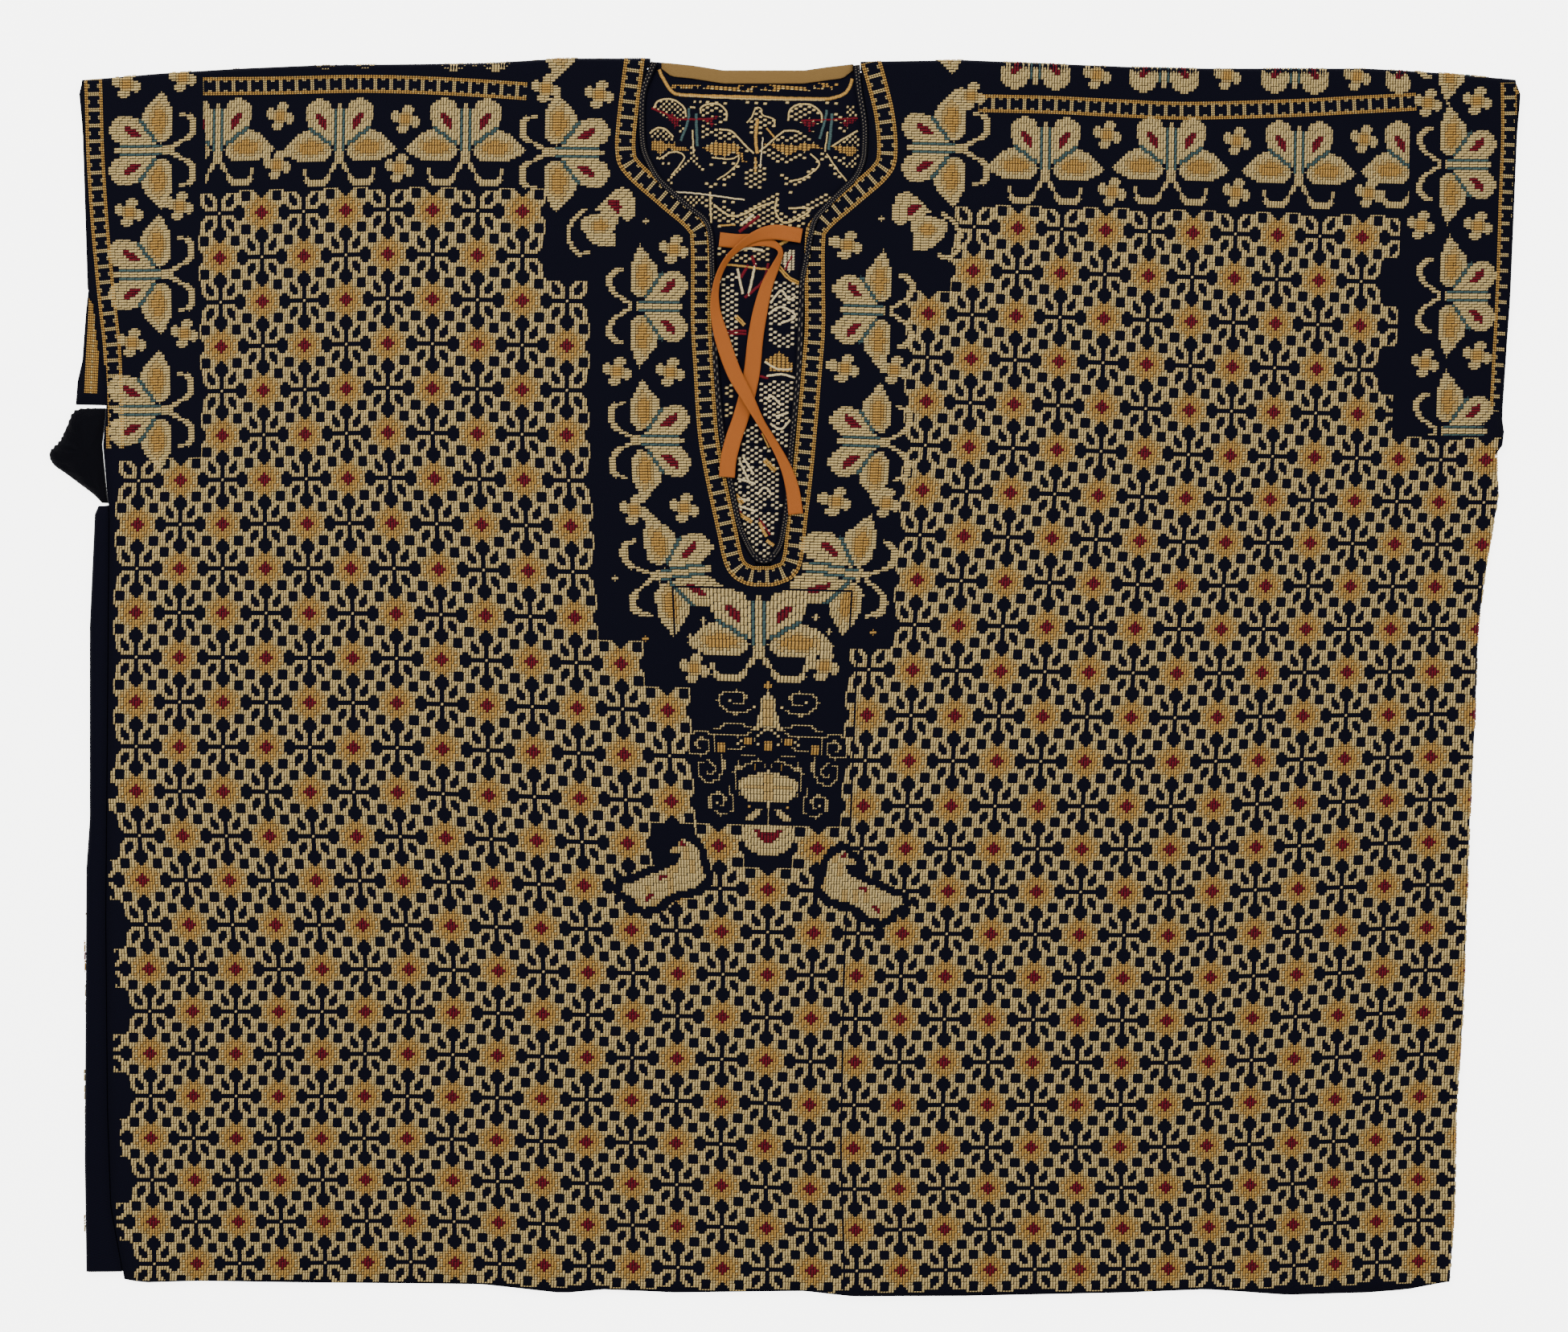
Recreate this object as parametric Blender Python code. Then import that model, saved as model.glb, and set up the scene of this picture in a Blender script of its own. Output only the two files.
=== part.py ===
"""An embroidered tunic, laid flat on its back with its front up.

One width of cloth is folded over the shoulders, so the front panel runs on over
the fold and down to the floor behind it, where the back panel begins. The left
side seam lies on the front, with the back panel turned up round that side; on
the right the front panel turns under. The sleeves are cut in one with the body.
Widths are measured from the line halfway between the sleeve ends, heights from
the middle of the garment's length, both in millimetres; z is up from the floor.
"""

import math

import bpy
import numpy as np
from mathutils import Vector

MM = 0.001

WALL = 1.6
GAP = 0.3
FOLD_RADIUS = 2.4
FOLD_TAIL = 3.0
FOLD_STEPS = 4
FRONT_TOP = WALL + GAP + WALL
FOLD_RISE = 2 * FOLD_RADIUS - FRONT_TOP
FOLD_REACH = 9.0
UNDER_FOLD = FOLD_RADIUS + FOLD_TAIL + 3 * GAP

SHOULDER_LINE = 366.0
HEM_LINE = -368.0
SLIT_END = 64.0
SLIT_ROUNDING = 2.2
SLIT_FADE = 60.0
SEAM_TOP = 100.0
SLEEVE_END = 160.0
BACK_TOP = 361.0
SEAM_END = -356.0
SIDE_FOLD_TOP = 137.0
SEAM_CLEAR = GAP + 0.2
BIND_WIDTH = 3.8
BIND_HEIGHT = 2.6
BIND_LIFT = 0.25
BIND_CLEAR = 1.2
TAPE_ENDS = (-73.0, 41.0)
TAPE_TAPER = 12.0
TAPE_CLEAR = 0.4
TAPE_WIDTH = 8.0
TAPE_THICK = 1.0
TAPE_COLUMNS = 14
BINDING_ROWS = 37
RIBBON_THICK = 0.8

# Top fold: across, up
TOP_FOLD = [
    (-420, 354), (-406, 355), (-372, 358), (-324, 361), (-276, 363), (-180, 364),
    (-132, 367), (-75, 367), (41, 365), (108, 366), (204, 362), (252, 361),
    (348, 361), (396, 358), (439, 354),
]
# Front hem: across, up
HEM = [
    (-393, -361), (-382, -363), (-348, -362), (-276, -363), (-180, -364), (-132, -369),
    (-108, -367), (-65, -369), (12, -368), (41, -371), (108, -371), (204, -369),
    (252, -367), (300, -370), (348, -369), (372, -367), (397, -362),
]
# Left edge of the front: up, across
FRONT_LEFT = [
    (354, -418), (347, -420), (324, -418), (227, -415), (220, -410), (199, -408),
    (170, -404), (154, -404), (137, -406), (114, -404), (95, -402), (-30, -403),
    (-145, -404), (-260, -403), (-318, -401), (-362, -393),
]
# Right edge of the front, sleeve end and side: up, across
FRONT_RIGHT = [
    (354, 436), (347, 439), (324, 437), (227, 433), (199, 431), (154, 428), (144, 429),
    (137, 428), (132, 425), (105, 426), (66, 419), (28, 414), (-30, 412), (-87, 409),
    (-145, 407), (-203, 405), (-260, 401), (-318, 400), (-362, 397),
]
# Left sleeve end of the back, which shows past the front: up, across
BACK_SLEEVE = [
    (354, -417), (227, -415), (215, -417), (187, -419), (174, -422), (160, -423),
]
# Left side fold, where the back turns up to the seam: up, across
SIDE_FOLD = [
    (102, -408), (95, -411), (28, -414), (-87, -414), (-116, -416), (-289, -417),
    (-356, -416),
]
# Neck opening between its bound edges: up, left, right
NECK = [
    (366, -75, 41), (347, -82, 43), (328, -83, 46), (314, -82, 46), (306, -79, 45),
    (297, -74, 41), (289, -66, 33), (280, -56, 24), (272, -46, 17), (262, -42, 14),
    (245, -41, 11), (231, -40.5, 8.8), (186, -39, 7.2), (150, -36, 4), (130, -33, 2),
    (109, -29, 0.8), (90, -25, -1.5), (78, -20, -4), (72.5, -17, -7),
]
# Ends of the bound edge at the shoulder fold, and its turn at the end of the slit
NECK_TOP_LEFT = (-75.6, 363.4)
NECK_TOP_RIGHT = (41.4, 362.4)
SLIT_TURN = [(-14.5, 69.6), (-12, 69.0), (-9.5, 69.6)]
# Back neck edge: across, up
BACK_NECK = [(-75, 365), (-55, 363), (-36, 360), (12, 360), (26, 362), (43, 364)]
# Rows of the front's mesh between the shoulder fold and the end of the slit
FRONT_LEVELS = [
    357, 347, 335, 324, 316, 311, 306, 300, 292, 286, 279, 272, 254, 232, 212, 190, 169, 154,
    144, 137, 132, 118, 105, 93, 85, 79, 75, 72, 70, 68, 66, SLIT_END,
]
FRONT_COLUMNS = 17
HEM_ROWS = 20
# Rows and columns of the back's mesh, and the two columns at the sides of the neck
BACK_LEVELS = [
    BACK_TOP, 350, 330, 290, 250, 215, 187, 174, SLEEVE_END + 0.5, SLEEVE_END, 141, 140, 137,
    132, 105, 101, SEAM_TOP, 95, 66, 28, -30, -87, -145, -203, -260, -318, SEAM_END,
    SEAM_END - 0.5,
]
BACK_COLUMNS = [
    -395, -340, -285, -230, -175, -120, -79.6, -78, -55, -36, -12, 12, 26, 41, 45.2, 100, 155,
    210, 265, 320, 375,
]
NECK_COLUMNS = (-78, 41)
NECK_DIP_REACH = 90.0
BACK_HEM_LEFT = -391.0

# Soft ridges in the front: across, up, half length, half width, turned, height
RIDGES = [
    (-250, 60, 150, 40, 75, 2.2),
    (-120, -180, 170, 38, 82, 2.0),
    (60, -200, 160, 35, 95, 1.8),
    (210, -40, 190, 45, 100, 2.4),
    (300, -250, 120, 35, 88, 1.6),
    (-300, -270, 110, 34, 92, 1.5),
    (180, 180, 110, 40, 70, 1.8),
    (-230, 230, 90, 36, 110, 1.6),
    (-130, -350, 60, 22, 90, 1.6),
    (40, -352, 70, 24, 88, 1.8),
    (300, -350, 60, 24, 90, 1.6),
]

# Loose outer edge of the underarm gusset, from its top end round: across, up
GUSSET = [
    (-412, 158.5), (-423, 157), (-428, 147), (-432, 139), (-438, 132), (-436, 125),
    (-428, 119), (-420, 113), (-412, 107), (-407, 102),
]
# Edge layers and crown of the gusset: inset from its outline, z
GUSSET_RINGS = [(0, 0), (0, 1.4), (0.9, 1.7), (0, 2.0), (0.4, 3.1), (2.6, 4.4), (6, 5.6)]
GUSSET_SEAM = (101.5, 114, 125, 137, 146, 154, 158.5)
GUSSET_CENTRE = (-417.0, 132.0)
GUSSET_CROWN = 6.2
GUSSET_CRUMPLE = 0.5

# Section of the neck binding: share of its width, share of half its height
BINDING_SECTION = [
    (0.0, -0.5), (0.2, -0.8), (0.8, -0.8), (1.0, -0.5), (1.0, 0.5), (0.7, 1.0), (0.3, 1.0),
    (0.0, 0.5),
]

# Tie from the right of the slit: across, up, z, width, tilt of its face
RIGHT_TIE = [
    (10.5, 261, 3.6, 8.6, 0),
    (4, 262, 4.6, 8.8, 0),
    (-7, 263, 4.8, 8.8, 10),
    (-18, 260, 4.9, 6.6, 25),
    (-28, 253, 5.6, 4.6, 40),
    (-35, 245, 6.6, 4.6, 45),
    (-40, 233, 6.8, 4.4, 35),
    (-41, 218, 6.2, 6.0, 20),
    (-37, 200, 6.0, 8.6, 0),
    (-30, 180, 5.8, 8.8, 0),
    (-22, 165, 5.6, 7.6, 10),
    (-14, 150, 5.2, 5.6, 30),
    (-6, 137, 4.8, 5.6, 30),
    (1, 123, 5.8, 6.6, 15),
    (5, 110, 5.6, 8.0, 0),
    (7, 95, 5.2, 8.8, 0),
]
# Tie from the left of the slit, under the other: across, up, z, width, tilt
LEFT_TIE = [
    (-38.5, 259, 2.8, 8.6, 0),
    (-28, 258, 2.7, 8.4, 0),
    (-16, 258.5, 2.6, 7.0, 0),
    (-6, 256, 2.7, 4.4, 0),
    (-2, 251, 3.9, 3.6, 35),
    (-5, 243, 4.0, 5.0, 20),
    (-10, 232, 2.9, 7.0, 0),
    (-14, 217, 2.7, 8.6, 0),
    (-17, 200, 2.7, 9.2, 0),
    (-19, 181, 2.7, 9.6, 0),
    (-22, 166, 2.8, 9.6, 0),
    (-26, 152, 3.4, 9.4, 0),
    (-30, 140, 5.2, 9.6, 0),
    (-33, 128, 5.7, 9.6, 0),
    (-34, 117, 5.7, 9.4, 0),
]


def value(table, at, column=1):
    """Reads one column of a table between its rows."""
    rows = sorted(table)
    return float(np.interp(at, [r[0] for r in rows], [r[column] for r in rows]))


def smooth_rows(table, count):
    """Rows along a smooth curve through all of a table's rows."""
    rows = np.array(table, float)
    spans = len(rows) - 1
    out = []
    for at in np.linspace(0, spans, count):
        i = min(int(at), spans - 1)
        t = at - i
        before, here, after, last = (rows[k] for k in (max(i - 1, 0), i, i + 1, min(i + 2, spans)))
        out.append(0.5 * (2 * here + (after - before) * t
                          + (2 * before - 5 * here + 4 * after - last) * t ** 2
                          + (3 * here - before - 3 * after + last) * t ** 3))
    return out


def ridge_height(x, y):
    total = 0.0
    for across, up, long, wide, turned, height in RIDGES:
        a = math.radians(turned)
        along = (x - across) * math.cos(a) + (y - up) * math.sin(a)
        aside = (y - up) * math.cos(a) - (x - across) * math.sin(a)
        total += height * math.exp(-(along / long) ** 2 - (aside / wide) ** 2)
    return total


def front_height(x, y):
    """Top of the front panel: flat on the back, with ridges, and fuller at its folds."""
    to_top = value(TOP_FOLD, x) - FOLD_RADIUS - y
    to_side = value(FRONT_RIGHT, y) - FOLD_RADIUS - x
    nearness = math.exp(-max(to_top, 0) / FOLD_REACH)
    if y < SIDE_FOLD_TOP + FOLD_REACH:
        nearness = max(nearness, math.exp(-max(to_side, 0) / FOLD_REACH))
    return FRONT_TOP + ridge_height(x, y) * (1 - nearness) + FOLD_RISE * nearness


def fold_profile():
    """Half a turn of the wall and its tail on the floor: outward, z, for each face."""
    outer, inner = [], []
    for i in range(1, FOLD_STEPS + 1):
        a = math.pi / 2 - math.pi * i / FOLD_STEPS
        for face, radius in ((outer, FOLD_RADIUS), (inner, FOLD_RADIUS - WALL)):
            face.append((radius * math.cos(a), FOLD_RADIUS + radius * math.sin(a)))
    outer.append((-FOLD_TAIL, 0.0))
    inner.append((-FOLD_TAIL, WALL))
    return list(zip(outer, inner))


def add_object(name, points, faces, material):
    mesh = bpy.data.meshes.new(name)
    mesh.from_pydata([Vector(p) * MM for p in points], [], faces)
    mesh.materials.append(material)
    mesh.shade_smooth()
    mesh.set_sharp_from_angle(angle=math.radians(50))
    piece = bpy.data.objects.new(name, mesh)
    bpy.context.scene.collection.objects.link(piece)
    return piece


def add_wall(name, outer, inner, present, material):
    """A closed wall from two grids of points, where present says which cells have cloth."""
    rows, columns = len(outer), len(outer[0])
    points, index = [], {}

    def corner(side, r, c):
        key = (side, r, c)
        if key not in index:
            index[key] = len(points)
            points.append((outer, inner)[side][r][c])
        return index[key]

    def cloth(r, c):
        return 0 <= r < rows - 1 and 0 <= c < columns - 1 and present(r, c)

    faces = []
    for r in range(rows - 1):
        for c in range(columns - 1):
            if not cloth(r, c):
                continue
            ring = [(r, c), (r + 1, c), (r + 1, c + 1), (r, c + 1)]
            faces.append([corner(0, *p) for p in ring])
            faces.append([corner(1, *p) for p in reversed(ring)])
            beyond = [(r, c - 1), (r + 1, c), (r, c + 1), (r - 1, c)]
            for i, cell in enumerate(beyond):
                if not cloth(*cell):
                    a, b = ring[i], ring[(i + 1) % 4]
                    faces.append([corner(0, *b), corner(0, *a), corner(1, *a), corner(1, *b)])
    return add_object(name, points, faces, material)


def sweep(name, sections, material):
    """A closed bar through sections that each have the same number of points."""
    around = len(sections[0])
    points = [p for section in sections for p in section]
    faces = []
    for s in range(len(sections) - 1):
        for k in range(around):
            a, b = s * around + k, s * around + (k + 1) % around
            faces.append([a, a + around, b + around, b])
    last = (len(sections) - 1) * around
    faces.append(list(range(around)))
    faces.append([last + k for k in range(around)][::-1])
    return add_object(name, points, faces, material)


def directions(path):
    """The way along a path at each of its points, on the flat."""
    ways = np.gradient(np.array([(p[0], p[1]) for p in path]), axis=0)
    return ways / np.linalg.norm(ways, axis=1)[:, None]


def binding_edges():
    """Pairs of points along the neck: the bound edge, and where the cloth begins behind it."""
    left = [(row[1], row[0]) for row in NECK]
    right = [(row[2], row[0]) for row in NECK]
    left[0], right[0] = NECK_TOP_LEFT, NECK_TOP_RIGHT
    edge = smooth_rows(left, BINDING_ROWS) + SLIT_TURN + smooth_rows(right, BINDING_ROWS)[::-1]
    pairs = []
    for (x, y), (along_x, along_y) in zip(edge, directions(edge)):
        pairs.append(((x, y), (x + along_y * BIND_WIDTH, y - along_x * BIND_WIDTH)))
    return pairs


def slit_columns(level, up, bound, left, right):
    """Across places of the two columns at the slit, which even out below its end."""
    middle = len(bound) // 2
    sides = []
    for half, clear in ((bound[:middle], -BIND_CLEAR), (bound[middle:], BIND_CLEAR)):
        x = half[0][0] if clear < 0 else half[-1][0]
        for _ in range(3):
            x = value([(y, x) for x, y in half], max(up(x), SLIT_END + SLIT_ROUNDING)) + clear
        sides.append(x)
    if level >= SLIT_END:
        return sides
    near = math.exp((level - SLIT_END) / SLIT_FADE)
    cells = 2 * FRONT_COLUMNS + 1
    even = [left + (right - left) * k / cells for k in (FRONT_COLUMNS, FRONT_COLUMNS + 1)]
    return [near * s + (1 - near) * e for s, e in zip(sides, even)]


def front_row(level, bound):
    """Across and up of each point in one row of the front, where it lies flat."""
    top_level = SHOULDER_LINE - FOLD_RADIUS
    part = (top_level - level) / (top_level - HEM_LINE)

    def up(x):
        top = value(TOP_FOLD, x) - FOLD_RADIUS
        return top + (value(HEM, x) - top) * part

    left = value(FRONT_LEFT, up(-405))
    right = value(FRONT_RIGHT, up(415))
    if level <= SIDE_FOLD_TOP:
        right -= FOLD_RADIUS
    slit = slit_columns(level, up, bound, left, right)
    xs = np.concatenate([np.linspace(left, slit[0], FRONT_COLUMNS + 1),
                         np.linspace(slit[1], right, FRONT_COLUMNS + 1)])
    return [(x, up(x)) for x in xs]


def add_front(material):
    """From the floor behind the shoulder fold, over it and down to the hem."""
    step = (SLIT_END - HEM_LINE) / HEM_ROWS
    levels = [SHOULDER_LINE - FOLD_RADIUS] + FRONT_LEVELS
    levels += [SLIT_END - step * (i + 1) for i in range(HEM_ROWS)]
    fold = fold_profile()
    bound = [p[1] for p in binding_edges()]
    outer, inner = [], []
    for level in levels:
        row = [(x, y, front_height(x, y)) for x, y in front_row(level, bound)]
        x, y, _ = row[-1]
        outer.append(row + [(x + out, y, z) for (out, z), _ in fold])
        inner.append([(x, y, z - WALL) for x, y, z in row]
                     + [(x + out, y, z) for _, (out, z) in fold])
    over, under = [], []
    for (out, z), (into, low) in reversed(fold):
        over.append([(x, y + out, z) for x, y, _ in outer[0]])
        under.append([(x, y + into, low) for x, y, _ in outer[0]])
    turned, columns = len(fold), 2 * FRONT_COLUMNS + 2

    def present(r, c):
        if c >= columns - 1:
            return r >= turned and levels[r - turned] <= SIDE_FOLD_TOP
        if c == FRONT_COLUMNS:
            return r >= turned and levels[r - turned] <= SLIT_END
        return True

    return add_wall("front_panel", over + outer, under + inner, present, material)


def back_left(level):
    if level > SLEEVE_END:
        return value(BACK_SLEEVE, level) + 0.5
    if level > SEAM_TOP:
        return value(FRONT_LEFT, level) + 3
    return value(SIDE_FOLD, level) + FOLD_RADIUS


def back_row(level):
    """Across and up of each point in one row of the back, where it lies flat."""
    inset = UNDER_FOLD if level <= SIDE_FOLD_TOP + 3 else 5 * GAP
    right = value(FRONT_RIGHT, level) - inset
    row = []
    for x in [back_left(level)] + BACK_COLUMNS + [right]:
        in_neck = NECK_COLUMNS[0] <= x <= NECK_COLUMNS[1]
        top = value(BACK_NECK, x) if in_neck else value(TOP_FOLD, x) - UNDER_FOLD - 0.2
        y = level + (top - BACK_TOP) * max(0, 1 - (BACK_TOP - level) / NECK_DIP_REACH)
        if level < SEAM_END:
            y = min(SEAM_END, value(HEM, x) + 4) if x > BACK_HEM_LEFT else level
        row.append((x, y))
    return row


def back_turn(level, base, y, fold):
    """The left side of one row, from the seam on the front round to the floor."""
    seam = value(FRONT_LEFT, level) - SEAM_CLEAR
    half = (base + seam) / 2
    shelf = [(seam, FRONT_TOP + 0.3), (half, 4.4), (base, 2 * FOLD_RADIUS)]
    round_side = fold[:-2]
    outer = [(x, y, z) for x, z in shelf] + [(base - out, y, z) for (out, z), _ in round_side]
    inner = [(x, y, z - WALL) for x, z in shelf] + [(base - out, y, z) for _, (out, z) in round_side]
    return outer, inner


def add_back(material):
    """Flat on the floor; its left side turns up to the seam on the front."""
    fold = fold_profile()
    outer, inner = [], []
    for level in BACK_LEVELS:
        row = back_row(level)
        turn_outer, turn_inner = back_turn(level, *row[0], fold)
        outer.append(turn_outer + [(x, y, 0.0) for x, y in row])
        inner.append(turn_inner + [(x, y, WALL) for x, y in row])
    turned = FOLD_STEPS + 2
    last = len(outer[0]) - 2

    def present(r, c):
        return last - c >= turned or BACK_LEVELS[r] <= SEAM_TOP

    return add_wall("back_panel", [row[::-1] for row in outer], [row[::-1] for row in inner],
                    present, material)


def add_gusset(material):
    """The underarm gusset, pushed out and heaped at the left, its layers seen at the edge."""
    loose = [row[:2] for row in smooth_rows(GUSSET, 2 * len(GUSSET))]
    seam = [(value(FRONT_LEFT, y) - SEAM_CLEAR, y) for y in GUSSET_SEAM]
    ring = np.array(loose + seam)
    centre = np.array(GUSSET_CENTRE)
    points, faces, count = [], [], len(ring)
    for inset, z in GUSSET_RINGS:
        for k, p in enumerate(ring):
            inward = centre - p
            moved = p + inward * min(inset / np.linalg.norm(inward), 0.8)
            crumple = GUSSET_CRUMPLE * math.sin(1.7 * k) if inset > 2 else 0.0
            points.append((*moved, z + crumple))
    for s in range(len(GUSSET_RINGS) - 1):
        for k in range(count):
            a, b = s * count + k, s * count + (k + 1) % count
            faces.append([a, b, b + count, a + count])
    points += [(*centre, 0.0), (*centre, GUSSET_CROWN)]
    last = (len(GUSSET_RINGS) - 1) * count
    for k in range(count):
        after = (k + 1) % count
        faces.append([after, k, len(points) - 2])
        faces.append([last + k, last + after, len(points) - 1])
    return add_object("underarm_gusset", points, faces, material)


def add_binding(material):
    """Folded edging along both sides of the neck and round the end of the slit."""
    sections = []
    for near, far in binding_edges():
        near, far = np.array(near), np.array(far)
        base = front_height(*((near + far) / 2)) - WALL / 2 + BIND_LIFT
        sections.append([(*(near + (far - near) * share), base + high * BIND_HEIGHT / 2)
                         for share, high in BINDING_SECTION])
    return sweep("neck_binding", sections, material)


def add_tape(material):
    """Flat tape inside the back neck, along its edge."""
    outer, inner = [], []
    first, last = TAPE_ENDS
    xs = np.linspace(first, last, TAPE_COLUMNS)
    taper = [min(1.0, min(x - first, last - x) / TAPE_TAPER + 0.5) for x in xs]
    for lower in (TAPE_CLEAR, TAPE_WIDTH / 2, TAPE_WIDTH):
        row = [(x, value(BACK_NECK, x) - lower * t) for x, t in zip(xs, taper)]
        outer.append([(x, y, WALL + GAP + TAPE_THICK) for x, y in row])
        inner.append([(x, y, WALL + GAP) for x, y in row])
    return add_wall("back_neck_tape", outer, inner, lambda r, c: True, material)


def add_tie(name, table, stations, material):
    rows = smooth_rows(table, stations)
    sections = []
    for (x, y, z, width, tilt), (along_x, along_y) in zip(rows, directions(rows)):
        a = math.radians(tilt)
        across = Vector((along_y * math.cos(a), -along_x * math.cos(a), math.sin(a)))
        face = Vector((-along_y * math.sin(a), along_x * math.sin(a), math.cos(a)))
        middle = Vector((x, y, z))
        half, thick = across * width / 2, face * RIBBON_THICK / 2
        sections.append([middle + half - thick, middle + half + thick,
                         middle - half + thick, middle - half - thick])
    return sweep(name, sections, material)


def cloth_material(name, colour, roughness):
    material = bpy.data.materials.new(name)
    material.use_nodes = True
    shader = material.node_tree.nodes["Principled BSDF"]
    shader.inputs["Base Color"].default_value = (*colour, 1.0)
    shader.inputs["Roughness"].default_value = roughness
    shader.inputs["Metallic"].default_value = 0.0
    return material


def centre_on_floor(pieces):
    """Moves the whole garment so that the middle of its box's underside is the origin."""
    corners = np.array([v.co[:] for piece in pieces for v in piece.data.vertices])
    low, high = corners.min(0), corners.max(0)
    shift = Vector((-(low[0] + high[0]) / 2, -(low[1] + high[1]) / 2, -low[2]))
    for piece in pieces:
        for vertex in piece.data.vertices:
            vertex.co += shift


def main():
    for old in list(bpy.data.objects):
        bpy.data.objects.remove(old, do_unlink=True)
    navy = cloth_material("navy_cotton", (0.012, 0.012, 0.035), 0.9)
    gusset_navy = cloth_material("gusset_cotton", (0.008, 0.008, 0.024), 0.92)
    taupe = cloth_material("binding_cotton", (0.10, 0.085, 0.075), 0.85)
    tan = cloth_material("tape_cotton", (0.30, 0.21, 0.11), 0.85)
    rust = cloth_material("ribbon_silk", (0.54, 0.17, 0.045), 0.6)
    pieces = [
        add_front(navy),
        add_back(navy),
        add_gusset(gusset_navy),
        add_binding(taupe),
        add_tape(tan),
        add_tie("right_tie", RIGHT_TIE, 44, rust),
        add_tie("left_tie", LEFT_TIE, 40, rust),
    ]
    centre_on_floor(pieces)


main()
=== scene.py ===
"""An embroidered tunic laid flat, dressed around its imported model.

Places on the garment are in millimetres: across from the middle of its width, up
from the middle of its length. Stitch counts run across and up from the star that
is nearest to the lower middle of the front.
"""

import math

import bpy
import numpy as np
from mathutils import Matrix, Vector


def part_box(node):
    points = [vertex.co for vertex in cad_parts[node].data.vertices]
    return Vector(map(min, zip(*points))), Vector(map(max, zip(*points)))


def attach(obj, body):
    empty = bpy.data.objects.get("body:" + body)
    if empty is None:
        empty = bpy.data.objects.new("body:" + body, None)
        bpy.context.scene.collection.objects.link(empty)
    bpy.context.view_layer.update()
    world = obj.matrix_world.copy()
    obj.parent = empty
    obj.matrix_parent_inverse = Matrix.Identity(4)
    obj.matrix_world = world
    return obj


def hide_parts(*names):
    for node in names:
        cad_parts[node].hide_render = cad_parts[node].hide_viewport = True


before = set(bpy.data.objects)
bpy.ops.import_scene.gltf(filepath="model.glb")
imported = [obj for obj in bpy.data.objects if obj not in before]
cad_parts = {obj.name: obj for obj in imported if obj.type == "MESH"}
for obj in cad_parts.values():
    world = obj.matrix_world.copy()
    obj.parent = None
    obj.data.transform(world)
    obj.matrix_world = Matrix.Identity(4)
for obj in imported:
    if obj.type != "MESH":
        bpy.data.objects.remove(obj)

bl_info = {
    "name": "Embroidered Tunic",
    "version": (1, 0, 0),
    "blender": (4, 5, 0),
    "location": "View3D > Sidebar > Tunic",
    "description": "Builds an embroidered tunic laid flat, with its neck tape and ties",
    "category": "Object",
}

MM = 0.001

# Cloth, as in the solids
WALL = 1.6
GAP = 0.3
FOLD_RADIUS = 2.4
FOLD_TAIL = 3.0
FRONT_TOP = WALL + GAP + WALL
FOLD_RISE = 2 * FOLD_RADIUS - FRONT_TOP
FOLD_REACH = 9.0
FOLD_TURNS = [math.pi * k / 8 for k in range(1, 9)]
FRONT_COLUMNS = 56
SHOULDER_LINE = 366.0
HEM_LINE = -368.0
SLIT_END = 64.0
SLIT_ROUNDING = 2.2
SLIT_FADE = 60.0
SEAM_TOP = 100.0
SLEEVE_END = 160.0
BACK_TOP = 361.0
SEAM_END = -356.0
SIDE_FOLD_TOP = 137.0
SEAM_CLEAR = GAP + 0.2
UNDER_FOLD = FOLD_RADIUS + FOLD_TAIL + 3 * GAP
BIND_WIDTH = 3.8
BIND_HEIGHT = 2.6
BIND_LIFT = 0.25
BIND_CLEAR = 0.4
TAPE_ENDS = (-73.0, 41.0)
TAPE_TOP = 364.6
TAPE_TAPER = 12.0
TAPE_CLEAR = 0.4
TAPE_WIDTH = 8.0
TAPE_THICK = 1.0
RIBBON_THICK = 0.8
BACK_LIFT = 0.3
CLOTH_ROUGH = 0.9
RIBBON_ROUGH = 0.6
# Side of the cloth that the map covers once, and the weave's threads in it
WEAVE_SIZE = 48.0
WEAVE_THREADS = 48
# The weave's painted shade: its darkest level, how much lighter its crowns are painted, and the bumps'
# depth in metres
WEAVE_DARK = 0.6
WEAVE_CROWN_LIGHT = 0.7
BUMP_DEPTH = 0.0002
# Thread: least tone and its spread, painted shade that darkens its sides and ends, painted shade and relief
# of its twist
TONE_LEAST = 0.86
TONE_SPREAD = 0.22
PAINTED_SIDE_SHADE = 3.2
PAINTED_END_SHADE = 3.4
TWIST_LEVEL = 0.97
TWIST_SHADE = 0.06
TWIST_RELIEF = 0.2

# Top fold: across, up
TOP_FOLD = [
    (-420, 354), (-406, 355), (-372, 358), (-324, 361), (-276, 363), (-180, 364),
    (-132, 367), (-75, 367), (41, 365), (108, 366), (204, 362), (252, 361),
    (348, 361), (396, 358), (439, 354),
]
# Front hem: across, up
HEM = [
    (-393, -361), (-382, -363), (-348, -362), (-276, -363), (-180, -364), (-132, -369),
    (-108, -367), (-65, -369), (12, -368), (41, -371), (108, -371), (204, -369),
    (252, -367), (300, -370), (348, -369), (372, -367), (397, -362),
]
# Left edge of the front: up, across
FRONT_LEFT = [
    (354, -418), (347, -420), (324, -418), (227, -415), (220, -410), (199, -408),
    (170, -404), (154, -404), (137, -406), (114, -404), (95, -402), (-30, -403),
    (-145, -404), (-260, -403), (-318, -401), (-362, -393),
]
# Right edge of the front, sleeve end and side: up, across
FRONT_RIGHT = [
    (354, 436), (347, 439), (324, 437), (227, 433), (199, 431), (154, 428), (144, 429),
    (137, 428), (132, 425), (105, 426), (66, 419), (28, 414), (-30, 412), (-87, 409),
    (-145, 407), (-203, 405), (-260, 401), (-318, 400), (-362, 397),
]
# Left sleeve end of the back, which shows past the front: up, across
BACK_SLEEVE = [
    (354, -417), (227, -415), (215, -417), (187, -419), (174, -422), (160, -423),
]
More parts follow.
